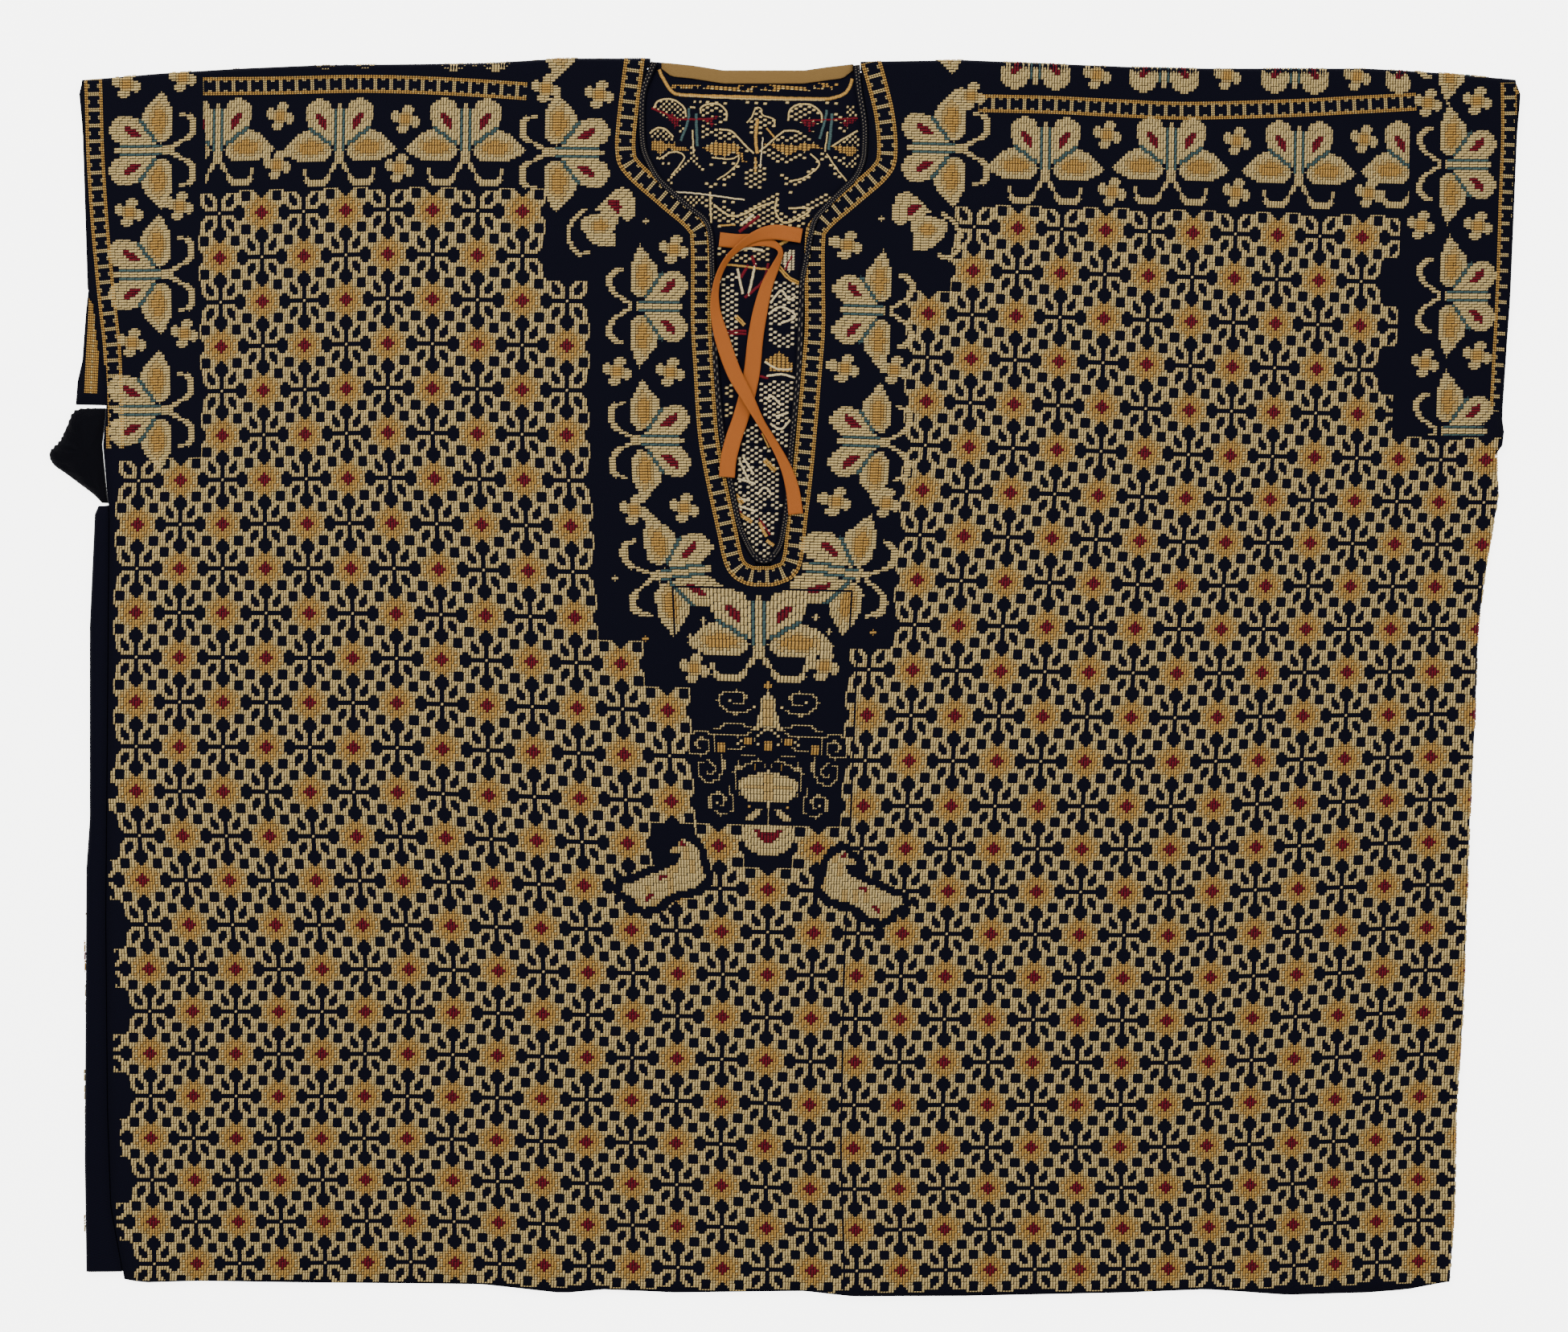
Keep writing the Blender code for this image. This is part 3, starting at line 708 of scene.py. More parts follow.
# Chest ornament: half of each scroll, out from its axis and down from its tip, in stitches
SCROLLS = [
    [(4, 9), (6.3, 10.9), (9.7, 11.5), (13, 10), (14.6, 7), (13, 4.4), (9, 3.4), (6.2, 5),
     (7, 7.6), (9.2, 8.4), (10.8, 7.2)],
    [(4.4, 16), (8, 15.3), (12.5, 15.3), (15.6, 17.4)],
    [(5, 18), (9, 19.4), (13, 19.2), (17.3, 18.6), (21.6, 18), (25, 19.6), (26.2, 23), (24.4, 25.8),
     (20.8, 26.6), (18, 24.6), (18, 21.4), (20.7, 20.4), (22.8, 22.3), (21.4, 24)],
    [(16.4, 20.4), (16.2, 25.4)],
    [(13.8, 25.4), (13.4, 30.6), (15.2, 34.8), (19, 36.2), (22, 33.2), (21.6, 29.4), (18.4, 28),
     (16, 30.4), (17.2, 33.4), (19.4, 32.4)],
    [(12.3, 37.4), (11, 41.6), (11.2, 45.9), (14.8, 47.6), (18.6, 44.6), (18.4, 40.6), (15.2, 38.9),
     (13.1, 41.4), (14.4, 44.3), (16, 43.2)],
    [(0.5, 16.5), (4, 20), (7.5, 23.6), (12.4, 23.8)],
    [(3.6, 26.4), (1.6, 28.4), (0.4, 30.6)],
    [(4.5, 26.2), (7.5, 26)],
    [(9, 28.4), (10.4, 32), (10.3, 36), (8.8, 39.6)],
    [(2.2, 28), (5.6, 28.6), (8.4, 31)],
    [(3, 22), (6, 19.4), (9, 22)],
]
# Solid parts of the ornament: thread, half outline
ORNAMENT_PARTS = [
    (CREAM, [(0, 3), (0.9, 3), (0.9, 4.6), (2.2, 6), (2.4, 10), (3.4, 12), (4, 15), (5.4, 17.4),
             (3, 17.6), (2, 16), (0, 17.4)]),
    (HONEY, [(0, 6), (1.2, 7), (1.2, 15.4), (0, 15.4)]),
    (GOLD, [(0, -0.5), (0.9, 0), (1.5, 1.4), (0.9, 3), (0, 3)]),
    (CREAM, [(0, 30.6), (1.6, 31.6), (6, 32.6), (9.2, 34.6), (9.6, 37), (8.6, 40), (5.5, 42.4),
             (0, 43)]),
    (HONEY, [(0, 32.4), (1.1, 32.4), (1.1, 42), (0, 42)]),
    (HONEY, [(0, 36.4), (7.4, 36.4), (7.4, 37.5), (0, 37.5)]),
    (CREAM, [(0, 42.6), (0.7, 42.6), (0.7, 51.2), (0, 51.2)]),
    (CREAM, [(1.8, 44.6), (4, 44.6), (8, 48.8), (7.6, 49.8), (5, 50), (3.4, 47.6), (2.6, 47.6)]),
    (CREAM, [(0, 51), (7.6, 51), (8.9, 53), (8.6, 56.4), (6.5, 60), (3.2, 62.4), (0, 62.4)]),
    (RED, [(0, 53.4), (1.4, 53.4), (3.8, 52.2), (4.2, 53.6), (2.6, 56.6), (1, 57.6), (0, 57.6)]),
    (GOLD, [(12.7, 22), (15.4, 22), (15.4, 25.2), (12.7, 25.2)]),
    (GOLD, [(5, 19.8), (7.4, 19.8), (7.4, 22.4), (5, 22.4)]),
    (GOLD, [(0, 21), (1.4, 21), (1.4, 25), (0, 25)]),
    (GOLD, [(3.2, 28.4), (5, 28.4), (5, 31.2), (3.2, 31.2)]),
    (GOLD, [(5.6, 43.2), (7, 43.2), (7, 44.8), (5.6, 44.8)]),
]
ORNAMENT_TOP = (-10.5, -4.0)
# Stitches that its chart takes at each side and down, and the birds' chart at each side
ORNAMENT_HALF = 40
ORNAMENT_LONG = 100
BIRDS_HALF = 60
# A bird-like shape and its red marks, beside the ornament: out and down from its breast
BIRD = [(4.2, -9.6), (2.5, -10.5), (-0.8, -9.2), (-3, -6.1), (-3.8, -1.7), (-5.5, 4.4), (-1.7, 8.3),
        (4.2, 9.6), (8.5, 11.4), (11.8, 14.8), (16.9, 16.2), (20.3, 14.4), (21.6, 11.4), (25.4, 10.5),
        (24.1, 7), (20.3, 6.1), (15.2, 3.5), (11, 1.7), (5.1, -0.9), (3.4, -4.4), (7.2, -4.8),
        (8, -5.6), (6.8, -7), (4.2, -7.9)]
BIRD_MARKS = [[(3.2, -8.6), (2.4, -7.6)], [(9, 4), (11.2, 4.6)], [(14.6, 11), (16.2, 13)]]
# Breasts of the two: across, which way they face, up; and the bare cloth round them, in stitches
BIRDS = [(-54.8, 1, -115.2), (31.1, -1, -121.6)]
BIRD_CLEAR = 2.4


def draw_ornament(chart, scrolls):
    """The chest ornament, either its single-stitch scrolls or its solid parts."""
    u, v = chart.grid()
    middle, top = stitch_at(*ORNAMENT_TOP)
    out, down = np.abs(u - middle).astype(float), (top - v).astype(float)
    if scrolls:
        for route in SCROLLS:
            chart.cells[along(route, out, down, THIN_LINE)] = CREAM
        return
    for thread, outline in ORNAMENT_PARTS:
        chart.cells[inside(outline, np.maximum(out, 0.01), down)] = thread


def bird_places(chart):
    """Places of the chart as each bird-like shape sees them: out and down from its breast."""
    u, v = chart.grid()
    for across, way, up in BIRDS:
        middle, level = stitch_at(across, up)
        yield u, v, (middle - u) * float(way), (level - v).astype(float)


def draw_birds(chart):
    for u, v, out, down in bird_places(chart):
        body = inside(BIRD, out, down)
        chart.cells[body] = np.where(scatter(u[body] // 2, v[body] // 5) < 0.3, HONEY, CREAM)
        for mark in BIRD_MARKS:
            chart.cells[along(mark, out, down, 0.6) & body] = RED


def clear_birds(chart):
    """Leaves the cloth bare round the bird-like shapes."""
    for _, _, out, down in bird_places(chart):
        near = np.zeros(out.shape, bool)
        for step in range(8):
            a = math.tau * step / 8
            near |= inside(BIRD, out + BIRD_CLEAR * math.cos(a), down + BIRD_CLEAR * math.sin(a))
        chart.cells[near] = 0


def draw_ground(chart, spots):
    """Stars and flowers by turns; a repeat with no neighbour ends on its own tips."""
    star, flower = quarter(STAR_QUARTER), quarter(FLOWER_QUARTER)
    for i, j, *columns in list(spots) + GROUND_PARTS:
        block = star.copy() if (i + j) % 2 == 0 else flower.copy()
        if (i + j) % 2:
            for k, side in ((0, (i - 1, j)), (16, (i + 1, j))):
                if side not in spots:
                    block[:, k] = 0
            for k, side in ((0, (i, j - 1)), (16, (i, j + 1))):
                if side not in spots:
                    block[k] = 0
        if columns:
            block[:, :columns[0] + 8] = block[:, columns[1] + 9:] = 0
        chart.draw(i * REPEAT, j * REPEAT, block, keep=True)


# Band on the back's sleeve end: across, up
BACK_BAND = [(-410.5, 236), (-411.3, 210), (-412.6, 188), (-413.6, 166)]
# Strip of the back that shows beside the front: its first star, pitch of its rows, ends
STRIP_STAR = (-413.5, -269.5)
STRIP_PITCH = (1.667, 1.578)
STRIP_LEAN = 0.02
STRIP_ENDS = (-353, -4)
# Dots along the edging, and the rows of stitches across it
EDGING_DOTS = 620
EDGING_ROWS = 5
# Reach of that strip: up, its right end, its left end
STRIP_REACH = [(-356, -402, -417), (-318, -404, -417.5), (-217, -405.6, -417.5), (-193, -408.5, -418),
               (-126, -409.7, -417), (-78, -410, -415.5), (-6, -405.8, -413)]
# Floats of the reverse: step along them, strands to a half width, sway, foot's place, foot, crown
FLOAT_STEP = 1.5
FLOAT_STRANDS = 1.3
FLOAT_SWAY = 0.35
FLOAT_SIDE = 0.95
FLOAT_FOOT = 0.06
FLOAT_CROWN = 0.42
# Back of the embroidery seen through the neck, on squares of LINING_SQUARE from a corner, right
# and down: thread, dotted or not, half width (0 for an outline), points
LINING_CORNER = (-88.8, 373.4)
LINING_SQUARE = 1.0884
LINING = [
    (GOLD, 2, 2.2, [(20, 21), (60, 22.5), (110, 21)]),
    (CREAM, 1, 0.9, [(24, 22.5), (60, 23.5), (108, 22.5)]),
    (GOLD, 0, 1.0, [(13, 12), (16, 18), (21, 24.5), (30, 26), (60, 27), (100, 28), (110, 27),
                    (116, 24), (119, 17)]),
    (CREAM, 0, 0.5, [(24, 26), (60, 28), (104, 28.6)]),
    (CREAM, 1, 0.6, [(30, 30), (110, 30.4)]),
    (CREAM, 1, 0, [(10, 33), (13, 29), (18, 28), (23, 29.5), (27, 33), (28, 38), (27, 44),
                   (24, 47), (20, 42), (14, 37)]),
    (CREAM, 0, 0.6, [(10, 33), (13, 29), (18, 28), (23, 29.5), (27, 33), (28, 38)]),
    (CREAM, 1, 0, [(36, 40), (36, 33), (40, 31), (46, 31), (50, 35), (50, 40), (46, 44), (40, 49),
                   (36, 50)]),
    (CREAM, 0, 0.6, [(36, 36), (36, 33), (40, 31), (46, 31), (50, 35), (50, 40)]),
    (CREAM, 1, 0, [(8, 45), (16, 44), (22, 50), (24, 54), (22, 58), (13, 62), (9, 56)]),
    (CREAM, 1, 0, [(41, 47), (46, 45), (53, 47), (58, 52), (63, 57), (58, 59), (50, 61),
                   (42, 60), (38, 56)]),
    (CREAM, 0, 0.6, [(46, 44.5), (53, 46), (59, 52), (65, 58)]),
    (CREAM, 0, 0.6, [(8, 47), (12, 44), (17, 45), (21, 49)]),
    (GOLD, 0, 0, [(8, 51.5), (14, 51), (20, 52.5), (32, 55.5), (28, 57.5), (18, 55.5), (14, 58),
                  (9, 57)]),
    (GOLD, 0, 0, [(36, 55), (44, 51.5), (54, 52.5), (58, 56), (62, 64), (59, 63), (54, 57),
                  (50, 59), (42, 58)]),
    (CREAM, 1, 0.6, [(14, 63.4), (21, 63.4)]),
    (CREAM, 1, 0.6, [(41, 63.6), (55, 63.4)]),
    (CREAM, 1, 1.7, [(32, 55), (30, 62), (20, 71), (19, 74)]),
    (CREAM, 1, 1.5, [(32, 60), (38, 70), (40, 76), (47, 76), (55, 66), (57, 60)]),
    (CREAM, 0, 0.5, [(13, 61), (21, 57), (27, 60), (20, 70)]),
    (CREAM, 0, 0.5, [(42, 60), (52, 61), (57, 59.5), (54, 66), (45, 72.5)]),
    (TEAL, 0, 0.8, [(29.5, 33), (29, 40), (25, 51)]),
    (TEAL, 0, 0.9, [(33.5, 36), (34, 54)]),
    (CREAM, 0, 0.5, [(31.5, 45), (32, 58)]),
    (CREAM, 0, 0.6, [(30, 32.6), (33, 32.6)]),
    (RED, 0, 0.7, [(9, 33), (17, 36.4), (23, 39), (43, 39)]),
    (RED, 0, 0, [(17, 35.4), (22, 37), (24.6, 41), (22.4, 45), (18, 40)]),
    (RED, 0, 0, [(38, 38.4), (46.4, 36.4), (44, 41), (41, 44.4)]),
    (CREAM, 1, 0, [(84, 40), (85, 34), (90, 31), (97, 31.5), (102, 36), (102, 42), (98, 47),
                   (94, 45), (88, 41)]),
    (CREAM, 0, 0.6, [(84, 40), (85, 34), (90, 31), (97, 31.5), (102, 36), (102, 41)]),
    (CREAM, 1, 0, [(110, 36), (113, 32), (119, 31), (122, 36), (120, 40), (115, 46), (110, 50)]),
    (CREAM, 1, 0, [(70, 57), (75, 52), (82, 46), (90, 46), (98, 50), (103, 55), (98, 57), (92, 61),
                   (82, 63), (74, 62)]),
    (CREAM, 0, 0.6, [(68, 57), (75, 51), (82, 45.6), (90, 46)]),
    (CREAM, 1, 0, [(109, 55), (115, 50), (121, 46), (123, 52), (123, 60), (120, 66), (113, 65),
                   (109, 60)]),
    (CREAM, 0, 0.6, [(108, 54), (115, 49.4), (122, 45.4)]),
    (GOLD, 0, 0, [(70, 52.6), (80, 53), (90, 52.6), (100, 52.6), (104, 56), (92, 56.4), (86, 59),
                  (80, 57.4), (76, 55)]),
    (GOLD, 0, 0, [(107, 54), (114, 53), (122, 54), (122, 58.4), (118, 60), (112, 58)]),
    (TEAL, 0, 0.8, [(105, 34), (104, 40), (101, 50)]),
    (TEAL, 0, 0.9, [(108, 36), (107, 48), (106, 56)]),
    (CREAM, 0, 0.5, [(104, 57), (105.4, 46)]),
    (RED, 0, 0.6, [(91, 40), (122, 38.6)]),
    (RED, 0, 0, [(91, 38), (97, 39), (98.6, 43), (95.4, 46.4), (91, 42)]),
    (RED, 0, 0, [(113, 41), (120, 37.4), (122, 40), (116, 44)]),
    (CREAM, 1, 1.6, [(103, 57), (100, 63), (94, 71), (84, 75), (81, 71)]),
    (CREAM, 1, 1.7, [(104, 60), (110, 68), (114, 75)]),
    (CREAM, 0, 0.5, [(96, 58), (101, 64), (93, 71), (85, 73)]),
    (CREAM, 0, 0.5, [(105, 58), (111, 67), (116, 73)]),
    (CREAM, 1, 0.6, [(81, 79.4), (95, 79.4)]),
    (CREAM, 1, 0, [(62, 43), (61, 40), (64, 38), (66, 33), (69, 33), (70, 37), (76, 39), (77, 43),
                   (72, 44), (70, 47), (64, 47)]),
    (CREAM, 0, 0.5, [(61, 41), (64, 38), (66, 33), (69, 33.4), (70, 37), (76, 39), (76, 43)]),
    (GOLD, 0, 1.0, [(67, 39), (66, 50), (67, 58)]),
    (GOLD, 0, 0.6, [(72, 44), (77, 50)]),
    (CREAM, 1, 0, [(60, 68), (66, 62), (72, 67), (73, 72), (68, 78), (60, 75)]),
    (GOLD, 0, 0.7, [(66, 60), (66, 68)]),
    (WHITE, 0, 0.5, [(22, 79), (35, 80), (60, 83.4)]),
    (WHITE, 0, 0.45, [(70, 49), (68.6, 66)]),
    (CREAM, 1, 0, [(24, 81), (42, 81.6), (42, 92), (34, 88)]),
    (CREAM, 1, 0.7, [(44, 84), (62, 86)]),
    (CREAM, 1, 0, [(42, 86), (46, 86), (56, 90), (66, 86), (76, 79), (80, 81), (78, 88), (84, 92),
                   (96, 84), (104, 80), (109, 82), (98, 90), (96, 98), (42, 98)]),
    (CREAM, 0, 0.6, [(43, 86), (52, 92), (60, 91), (66, 88), (76, 84.4)]),
    (CREAM, 0, 0.6, [(78, 82), (77, 90), (82, 96), (92, 92), (96, 88), (84, 88)]),
    (CREAM, 0, 0.6, [(41, 79), (41.6, 96)]),
    (GOLD, 0, 0.6, [(46, 97.6), (55, 97)]),
    (RED, 0, 1.0, [(57, 101), (62, 97), (68, 92)]),
    (WHITE, 0, 0.8, [(58, 97), (65, 91.4)]),
    (CREAM, 1, 0, [(46, 108), (74, 108), (74, 117), (46, 117)]),
    (WHITE, 0, 0.8, [(50, 114), (60, 110), (70, 111)]),
    (RED, 0, 1.0, [(64, 114), (66, 120)]),
    (GOLD, 0, 0.7, [(47, 118.6), (58, 119.6), (76, 122)]),
    (WHITE, 0, 0, [(80, 112), (88, 110), (89, 122), (84, 124), (78, 118)]),
    (GOLD, 0, 1.0, [(79, 108), (88, 103), (90, 101)]),
    (GOLD, 0, 1.2, [(77, 118), (84, 126), (90, 129)]),
    (RED, 0, 0.7, [(82, 122), (86, 114)]),
    (RED, 0, 0.9, [(60, 137), (70, 128), (73, 118)]),
    (RED, 0, 0.9, [(58, 126), (62, 119)]),
    (WHITE, 0, 0.8, [(56, 121), (59, 135)]),
    (WHITE, 0, 0.8, [(66, 118), (62, 136)]),
    (WHITE, 1, 0, [(46, 124), (56, 124), (57, 172), (46, 172)]),
    (WHITE, 1, 0, [(74, 126), (90, 130), (88, 164), (72, 164)]),
    (WHITE, 0, 0.7, [(74, 140), (80, 133), (84, 138), (88, 136)]),
    (WHITE, 0, 0.7, [(73, 146), (80, 142), (88, 147), (80, 151)]),
    (GOLD, 0, 1.2, [(55, 147), (60, 152)]),
    (RED, 0, 1.5, [(49, 156), (61, 156)]),
    (GOLD, 0, 0, [(71, 170), (80, 166), (86, 172), (86, 179), (73, 177)]),
    (WHITE, 0, 0.7, [(71, 172), (78, 176), (86, 176)]),
    (WHITE, 0, 0.7, [(72, 180), (80, 179), (88, 181)]),
    (RED, 0, 0.8, [(68, 180), (73, 181)]),
    (WHITE, 1, 0, [(69, 183), (86, 183), (86, 213), (82, 221), (73, 207), (69, 194)]),
    (WHITE, 0, 0.7, [(72, 193), (75, 191), (80, 196)]),
    (WHITE, 0, 0.7, [(77, 202), (84, 200)]),
    (WHITE, 0, 0.7, [(74, 206), (80, 209), (85, 204)]),
    (CREAM, 1, 0, [(48, 183), (54, 185), (53, 200), (49, 204)]),
    (WHITE, 1, 0, [(61, 204), (67, 207), (70, 215), (77, 226), (80, 236), (79, 247), (81, 251),
                   (77, 260), (77, 272), (71, 281), (67, 279), (60, 266), (56, 255), (54, 245),
                   (56, 230), (58, 217)]),
    (WHITE, 0, 0.7, [(57, 226), (63, 239)]),
    (WHITE, 0, 0.7, [(59, 224), (65, 234)]),
    (WHITE, 0, 0.7, [(56, 236), (66, 239)]),
    (WHITE, 0, 0.7, [(67, 245), (71, 241), (75, 245)]),
    (WHITE, 0, 0.7, [(54, 247), (63, 248)]),
    (WHITE, 0, 0.7, [(56, 251), (66, 254)]),
    (GOLD, 0, 1.2, [(70, 211), (74, 219)]),
    (GOLD, 0, 1.5, [(71, 226), (77, 232)]),
    (GOLD, 0, 1.4, [(55, 245), (59, 250)]),
    (GOLD, 0, 1.2, [(56, 255), (64, 260)]),
    (GOLD, 0, 1.0, [(68, 260), (72, 268)]),
    (GOLD, 0, 1.0, [(72, 270), (76, 273)]),
    (RED, 0, 0.6, [(69, 211), (74, 218)]),
    (RED, 0, 0.6, [(56, 252), (58, 255)]),
    (RED, 0, 0.6, [(68, 258), (74, 267)]),
]


def draw_lining(chart):
    """The embroidery's reverse inside the back: outlines, floats and rows of dots."""
    u, v = chart.grid()
    x, y = stitch_place(u, v)
    a, d = (x - LINING_CORNER[0]) / LINING_SQUARE, (LINING_CORNER[1] - y) / LINING_SQUARE
    for thread, dotted, half, points in LINING:
        if half and not dotted:
            continue
        here = along(points, a, d, half * 0.85) if half else inside(points, a, d)
        if dotted == 1:
            here &= ((u + v) % 2 == 0) & (scatter(u // 3, v // 3) + 0.35 * scatter(u, v) < 1.08)
        if dotted == 2:
            here &= scatter(u, v) < 0.8
        chart.cells[here] = thread
    edge, far = binding_edges()
    hole = min((edge, far), key=lambda line: np.ptp(line[:, 0]))
    off = ~inside([tuple(point) for point in hole], x, y) | (d < 12)
    chart.cells[off] = 0


def laid_threads(name):
    """Loose floats of the reverse: each is a soft ridge along its route, in strands side by side."""
    points, faces, uv = [], [], []
    for k, (thread, dotted, half, route) in enumerate(LINING):
        if dotted or not half:
            continue
        corner = np.array(LINING_CORNER)
        path = even_rows([corner + np.array((a, -d)) * LINING_SQUARE for a, d in route],
                         FLOAT_STEP)
        ways = directions(path)
        strands = max(1, round(half * FLOAT_STRANDS))
        width = half * LINING_SQUARE / strands
        crown = FLOAT_CROWN + 0.1 * (half > 0.9)
        for strand in range(strands):
            aside = (2 * strand - strands + 1) * width
            wander = FLOAT_SWAY * (scatter(np.arange(len(path)), k + strand) - 0.5)
            start = len(points)
            for s, ((x, y), (wx, wy)) in enumerate(zip(path, ways)):
                x, y = x - wy * (aside + wander[s]), y + wx * (aside + wander[s])
                for side, lift in ((-FLOAT_SIDE, FLOAT_FOOT), (0, crown), (FLOAT_SIDE, FLOAT_FOOT)):
                    points.append((x - wy * side * width, y + wx * side * width, WALL + lift))
            for s in range(len(path) - 1):
                row = (thread - 1) * THREAD_ROWS + s % THREAD_ROWS
                shade = (7 * k + 3 * strand) % MAP_STITCHES
                for side in (0, 1):
                    a = start + 3 * s + side
                    faces.append([a, a + 1, a + 4, a + 3][::-1])
                    spots = [(side / 2, 0.02), (side / 2 + 0.5, 0.02), (side / 2 + 0.5, 0.98),
                             (side / 2, 0.98)][::-1]
                    uv += [((shade + 0.04 + 0.92 * across) / MAP_STITCHES, (row + up) / MAP_STITCHES)
                           for across, up in spots]
    piece = add_piece(name, points, faces, material_of("thread"), uv)
    return piece


def edging_place(count):
    """Places rows of dots along the folded edging."""
    edge, far = (np.asarray(line) for line in binding_edges())
    way = np.linspace(0, len(edge) - 1, count + 1)
    near, away = (np.stack([np.interp(way, range(len(line)), line[:, k]) for k in (0, 1)], 1)
                  for line in (edge, far))
    stations = np.arange(count + 1)

    def place(u, v, lift):
        share = (v + 0.5) / EDGING_ROWS
        x, y = (np.interp(u, stations, near[:, k]) * (1 - share)
                + np.interp(u, stations, away[:, k]) * share for k in (0, 1))
        top = front_height(x, y) - WALL / 2 + BIND_LIFT + BIND_HEIGHT / 2
        return np.stack([x, y, top - 0.25 * (2 * share - 1) ** 2 + lift], -1)

    return place


def band_chart(length):
    """Two gold lines with cream bars and dots between them; its columns run along the band."""
    cells = np.zeros((BAND_ROWS, length), np.int8)
    row, column = np.mgrid[0:BAND_ROWS, 0:length]
    edge = (row < 2) | (row > 6)
    cells[edge] = np.where(scatter(column, row)[edge] < 0.88, GOLD, HONEY)
    step = column % 6
    cells[~edge & ((step == 0) | (step == 5))] = CREAM
    cells[((row == 2) | (row == 6)) & ((step == 2) | (step == 3))] = CREAM
    return cells


def add_piece(name, points, faces, material, uv):
    """A smooth mesh piece from points in millimetres, with its own map."""
    mesh = bpy.data.meshes.new(name)
    places = (np.asarray(points, float) + SHIFT) * MM
    mesh.from_pydata(places.tolist(), [], faces)
    layer = mesh.uv_layers.new(name="OFBake")
    layer.data.foreach_set("uv", np.asarray(uv, np.float32).ravel())
    mesh.materials.append(material)
    mesh.shade_smooth()
    piece = bpy.data.objects.new(name, mesh)
    bpy.context.scene.collection.objects.link(piece)
    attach(piece, "root")
    return piece


def runs_of(cells, longest):
    """Upright runs of one thread: column, first row, length, thread."""
    rows, columns = cells.shape
    flat = np.vstack([cells, np.zeros((1, columns), cells.dtype)]).T.ravel()
    starts = np.flatnonzero(np.concatenate(([True], flat[1:] != flat[:-1])))
    lengths = np.diff(np.concatenate((starts, [len(flat)])))
    found = []
    for start, length in zip(starts, lengths):
        thread = flat[start]
        if thread == 0:
            continue
        column, row = divmod(int(start), rows + 1)
        while length > 0:
            part = min(int(length), longest)
            found.append((column, row, part, int(thread)))
            row += part
            length -= part
    return np.array(found, int).reshape(-1, 4)


def sew(name, chart, place, longest=3, heights=None, sideways=False, under=False):
    """Raised stitches for a chart: each run of a thread, upright or sideways, is a small ridge.

    Heights are its foot and crown; under is for cloth that is seen from below.
    """
    if sideways:
        plain = place
        turned = Chart(chart.low, chart.left, chart.high, chart.right)
        turned.cells[:] = chart.cells.T
        chart, under = turned, not under

        def place(u, v, lift):
            return plain(v, u, lift)

    size = bpy.context.scene.tunic_stitches
    found = runs_of(chart.cells, longest)
    column, row, count, thread = found.T
    filled = np.pad(chart.cells > 0, 1).astype(int)
    total = np.cumsum(np.pad(filled, ((1, 0), (0, 0))), 0)

    def margin(beside):
        """Bare cloth at a stitch's side: more of it where no stitch lies beside."""
        return np.where(beside > 0, size.margin, size.bare)

    left, right = (margin(total[row + count + 1, at] - total[row + 1, at])
                   for at in (column, column + 2))
    foot, head = margin(filled[row, column + 1]), margin(filled[row + count + 1, column + 1])
    lone = (count == 1) & (left + right + foot + head >= 4 * size.bare)
    left, right, foot, head = (np.where(lone, size.margin, gap) for gap in (left, right, foot, head))
    u, v = column + chart.left, row + chart.low
    low, high = v - 0.5, v + count - 0.5
    lean, tip = size.lean, STITCH_TIP
    across = np.stack([u - 0.5 + left - lean, u + 0.5 - right - lean, u + 0.5 - right + lean,
                       u - 0.5 + left + lean, u - lean / 2, u + lean / 2], 1)
    up = np.stack([low + foot, low + foot, high - head, high - head, low + tip, high - tip], 1)
    base, crown = heights or (size.base / MM, size.crown / MM)
    height = np.array([base] * 4 + [crown] * 2)
    points = place(across, up, np.broadcast_to(height, across.shape)).reshape(-1, 3)
    start = 6 * np.arange(len(found))[:, None]
    quads = np.concatenate([start + [1, 2, 5, 4], start + [3, 0, 4, 5]])
    ends = np.concatenate([start + [0, 1, 4], start + [2, 3, 5]])
    if under:
        quads, ends = quads[:, ::-1], ends[:, ::-1]
    faces = quads.tolist() + ends.tolist()
    shade_u = np.floor(scatter(u, v) * (MAP_STITCHES - 1))
    shade_v = (thread - 1) * THREAD_ROWS + np.floor(scatter(v, u) * (THREAD_ROWS - count + 0.999))
    local_u = np.array([0.02, 0.98, 0.98, 0.02, 0.5, 0.5])
    map_u = (shade_u[:, None] + local_u) / MAP_STITCHES
    ends_v = np.stack([np.full(len(found), 0.02)] * 2 + [count - 0.02] * 2
                      + [np.full(len(found), tip), count - tip], 1)
    map_v = (shade_v[:, None] + ends_v) / MAP_STITCHES
    corners = np.stack([map_u, map_v], -1).reshape(-1, 2)
    uv = np.concatenate([corners[quads].reshape(-1, 2), corners[ends].reshape(-1, 2)])
    piece = add_piece(name, points, faces, material_of("thread"), uv)
    return piece


def path_place(path, pitch, width):
    """Places a band's chart, whose columns run along a route on the front."""
    path = even_rows(path, pitch)
    ways = directions(path)
    stations = np.arange(len(path))

    def place(u, v, lift):
        x, y = (np.interp(u, stations, path[:, k]) for k in (0, 1))
        wx, wy = (np.interp(u, stations, ways[:, k]) for k in (0, 1))
        aside = (v - BAND_ROWS // 2) * width
        return on_front(x - wy * aside, y + wx * aside, lift)

    return place, len(path)


def node_tree(material):
    material.use_nodes = True
    tree = material.node_tree
    return tree, tree.nodes["Principled BSDF"]


def link_chain(tree, *pairs):
    for source, target in pairs:
        tree.links.new(source, target)


def add_node(tree, kind, **settings):
    node = tree.nodes.new(kind)
    for key, setting in settings.items():
        setattr(node, key, setting)
    return node


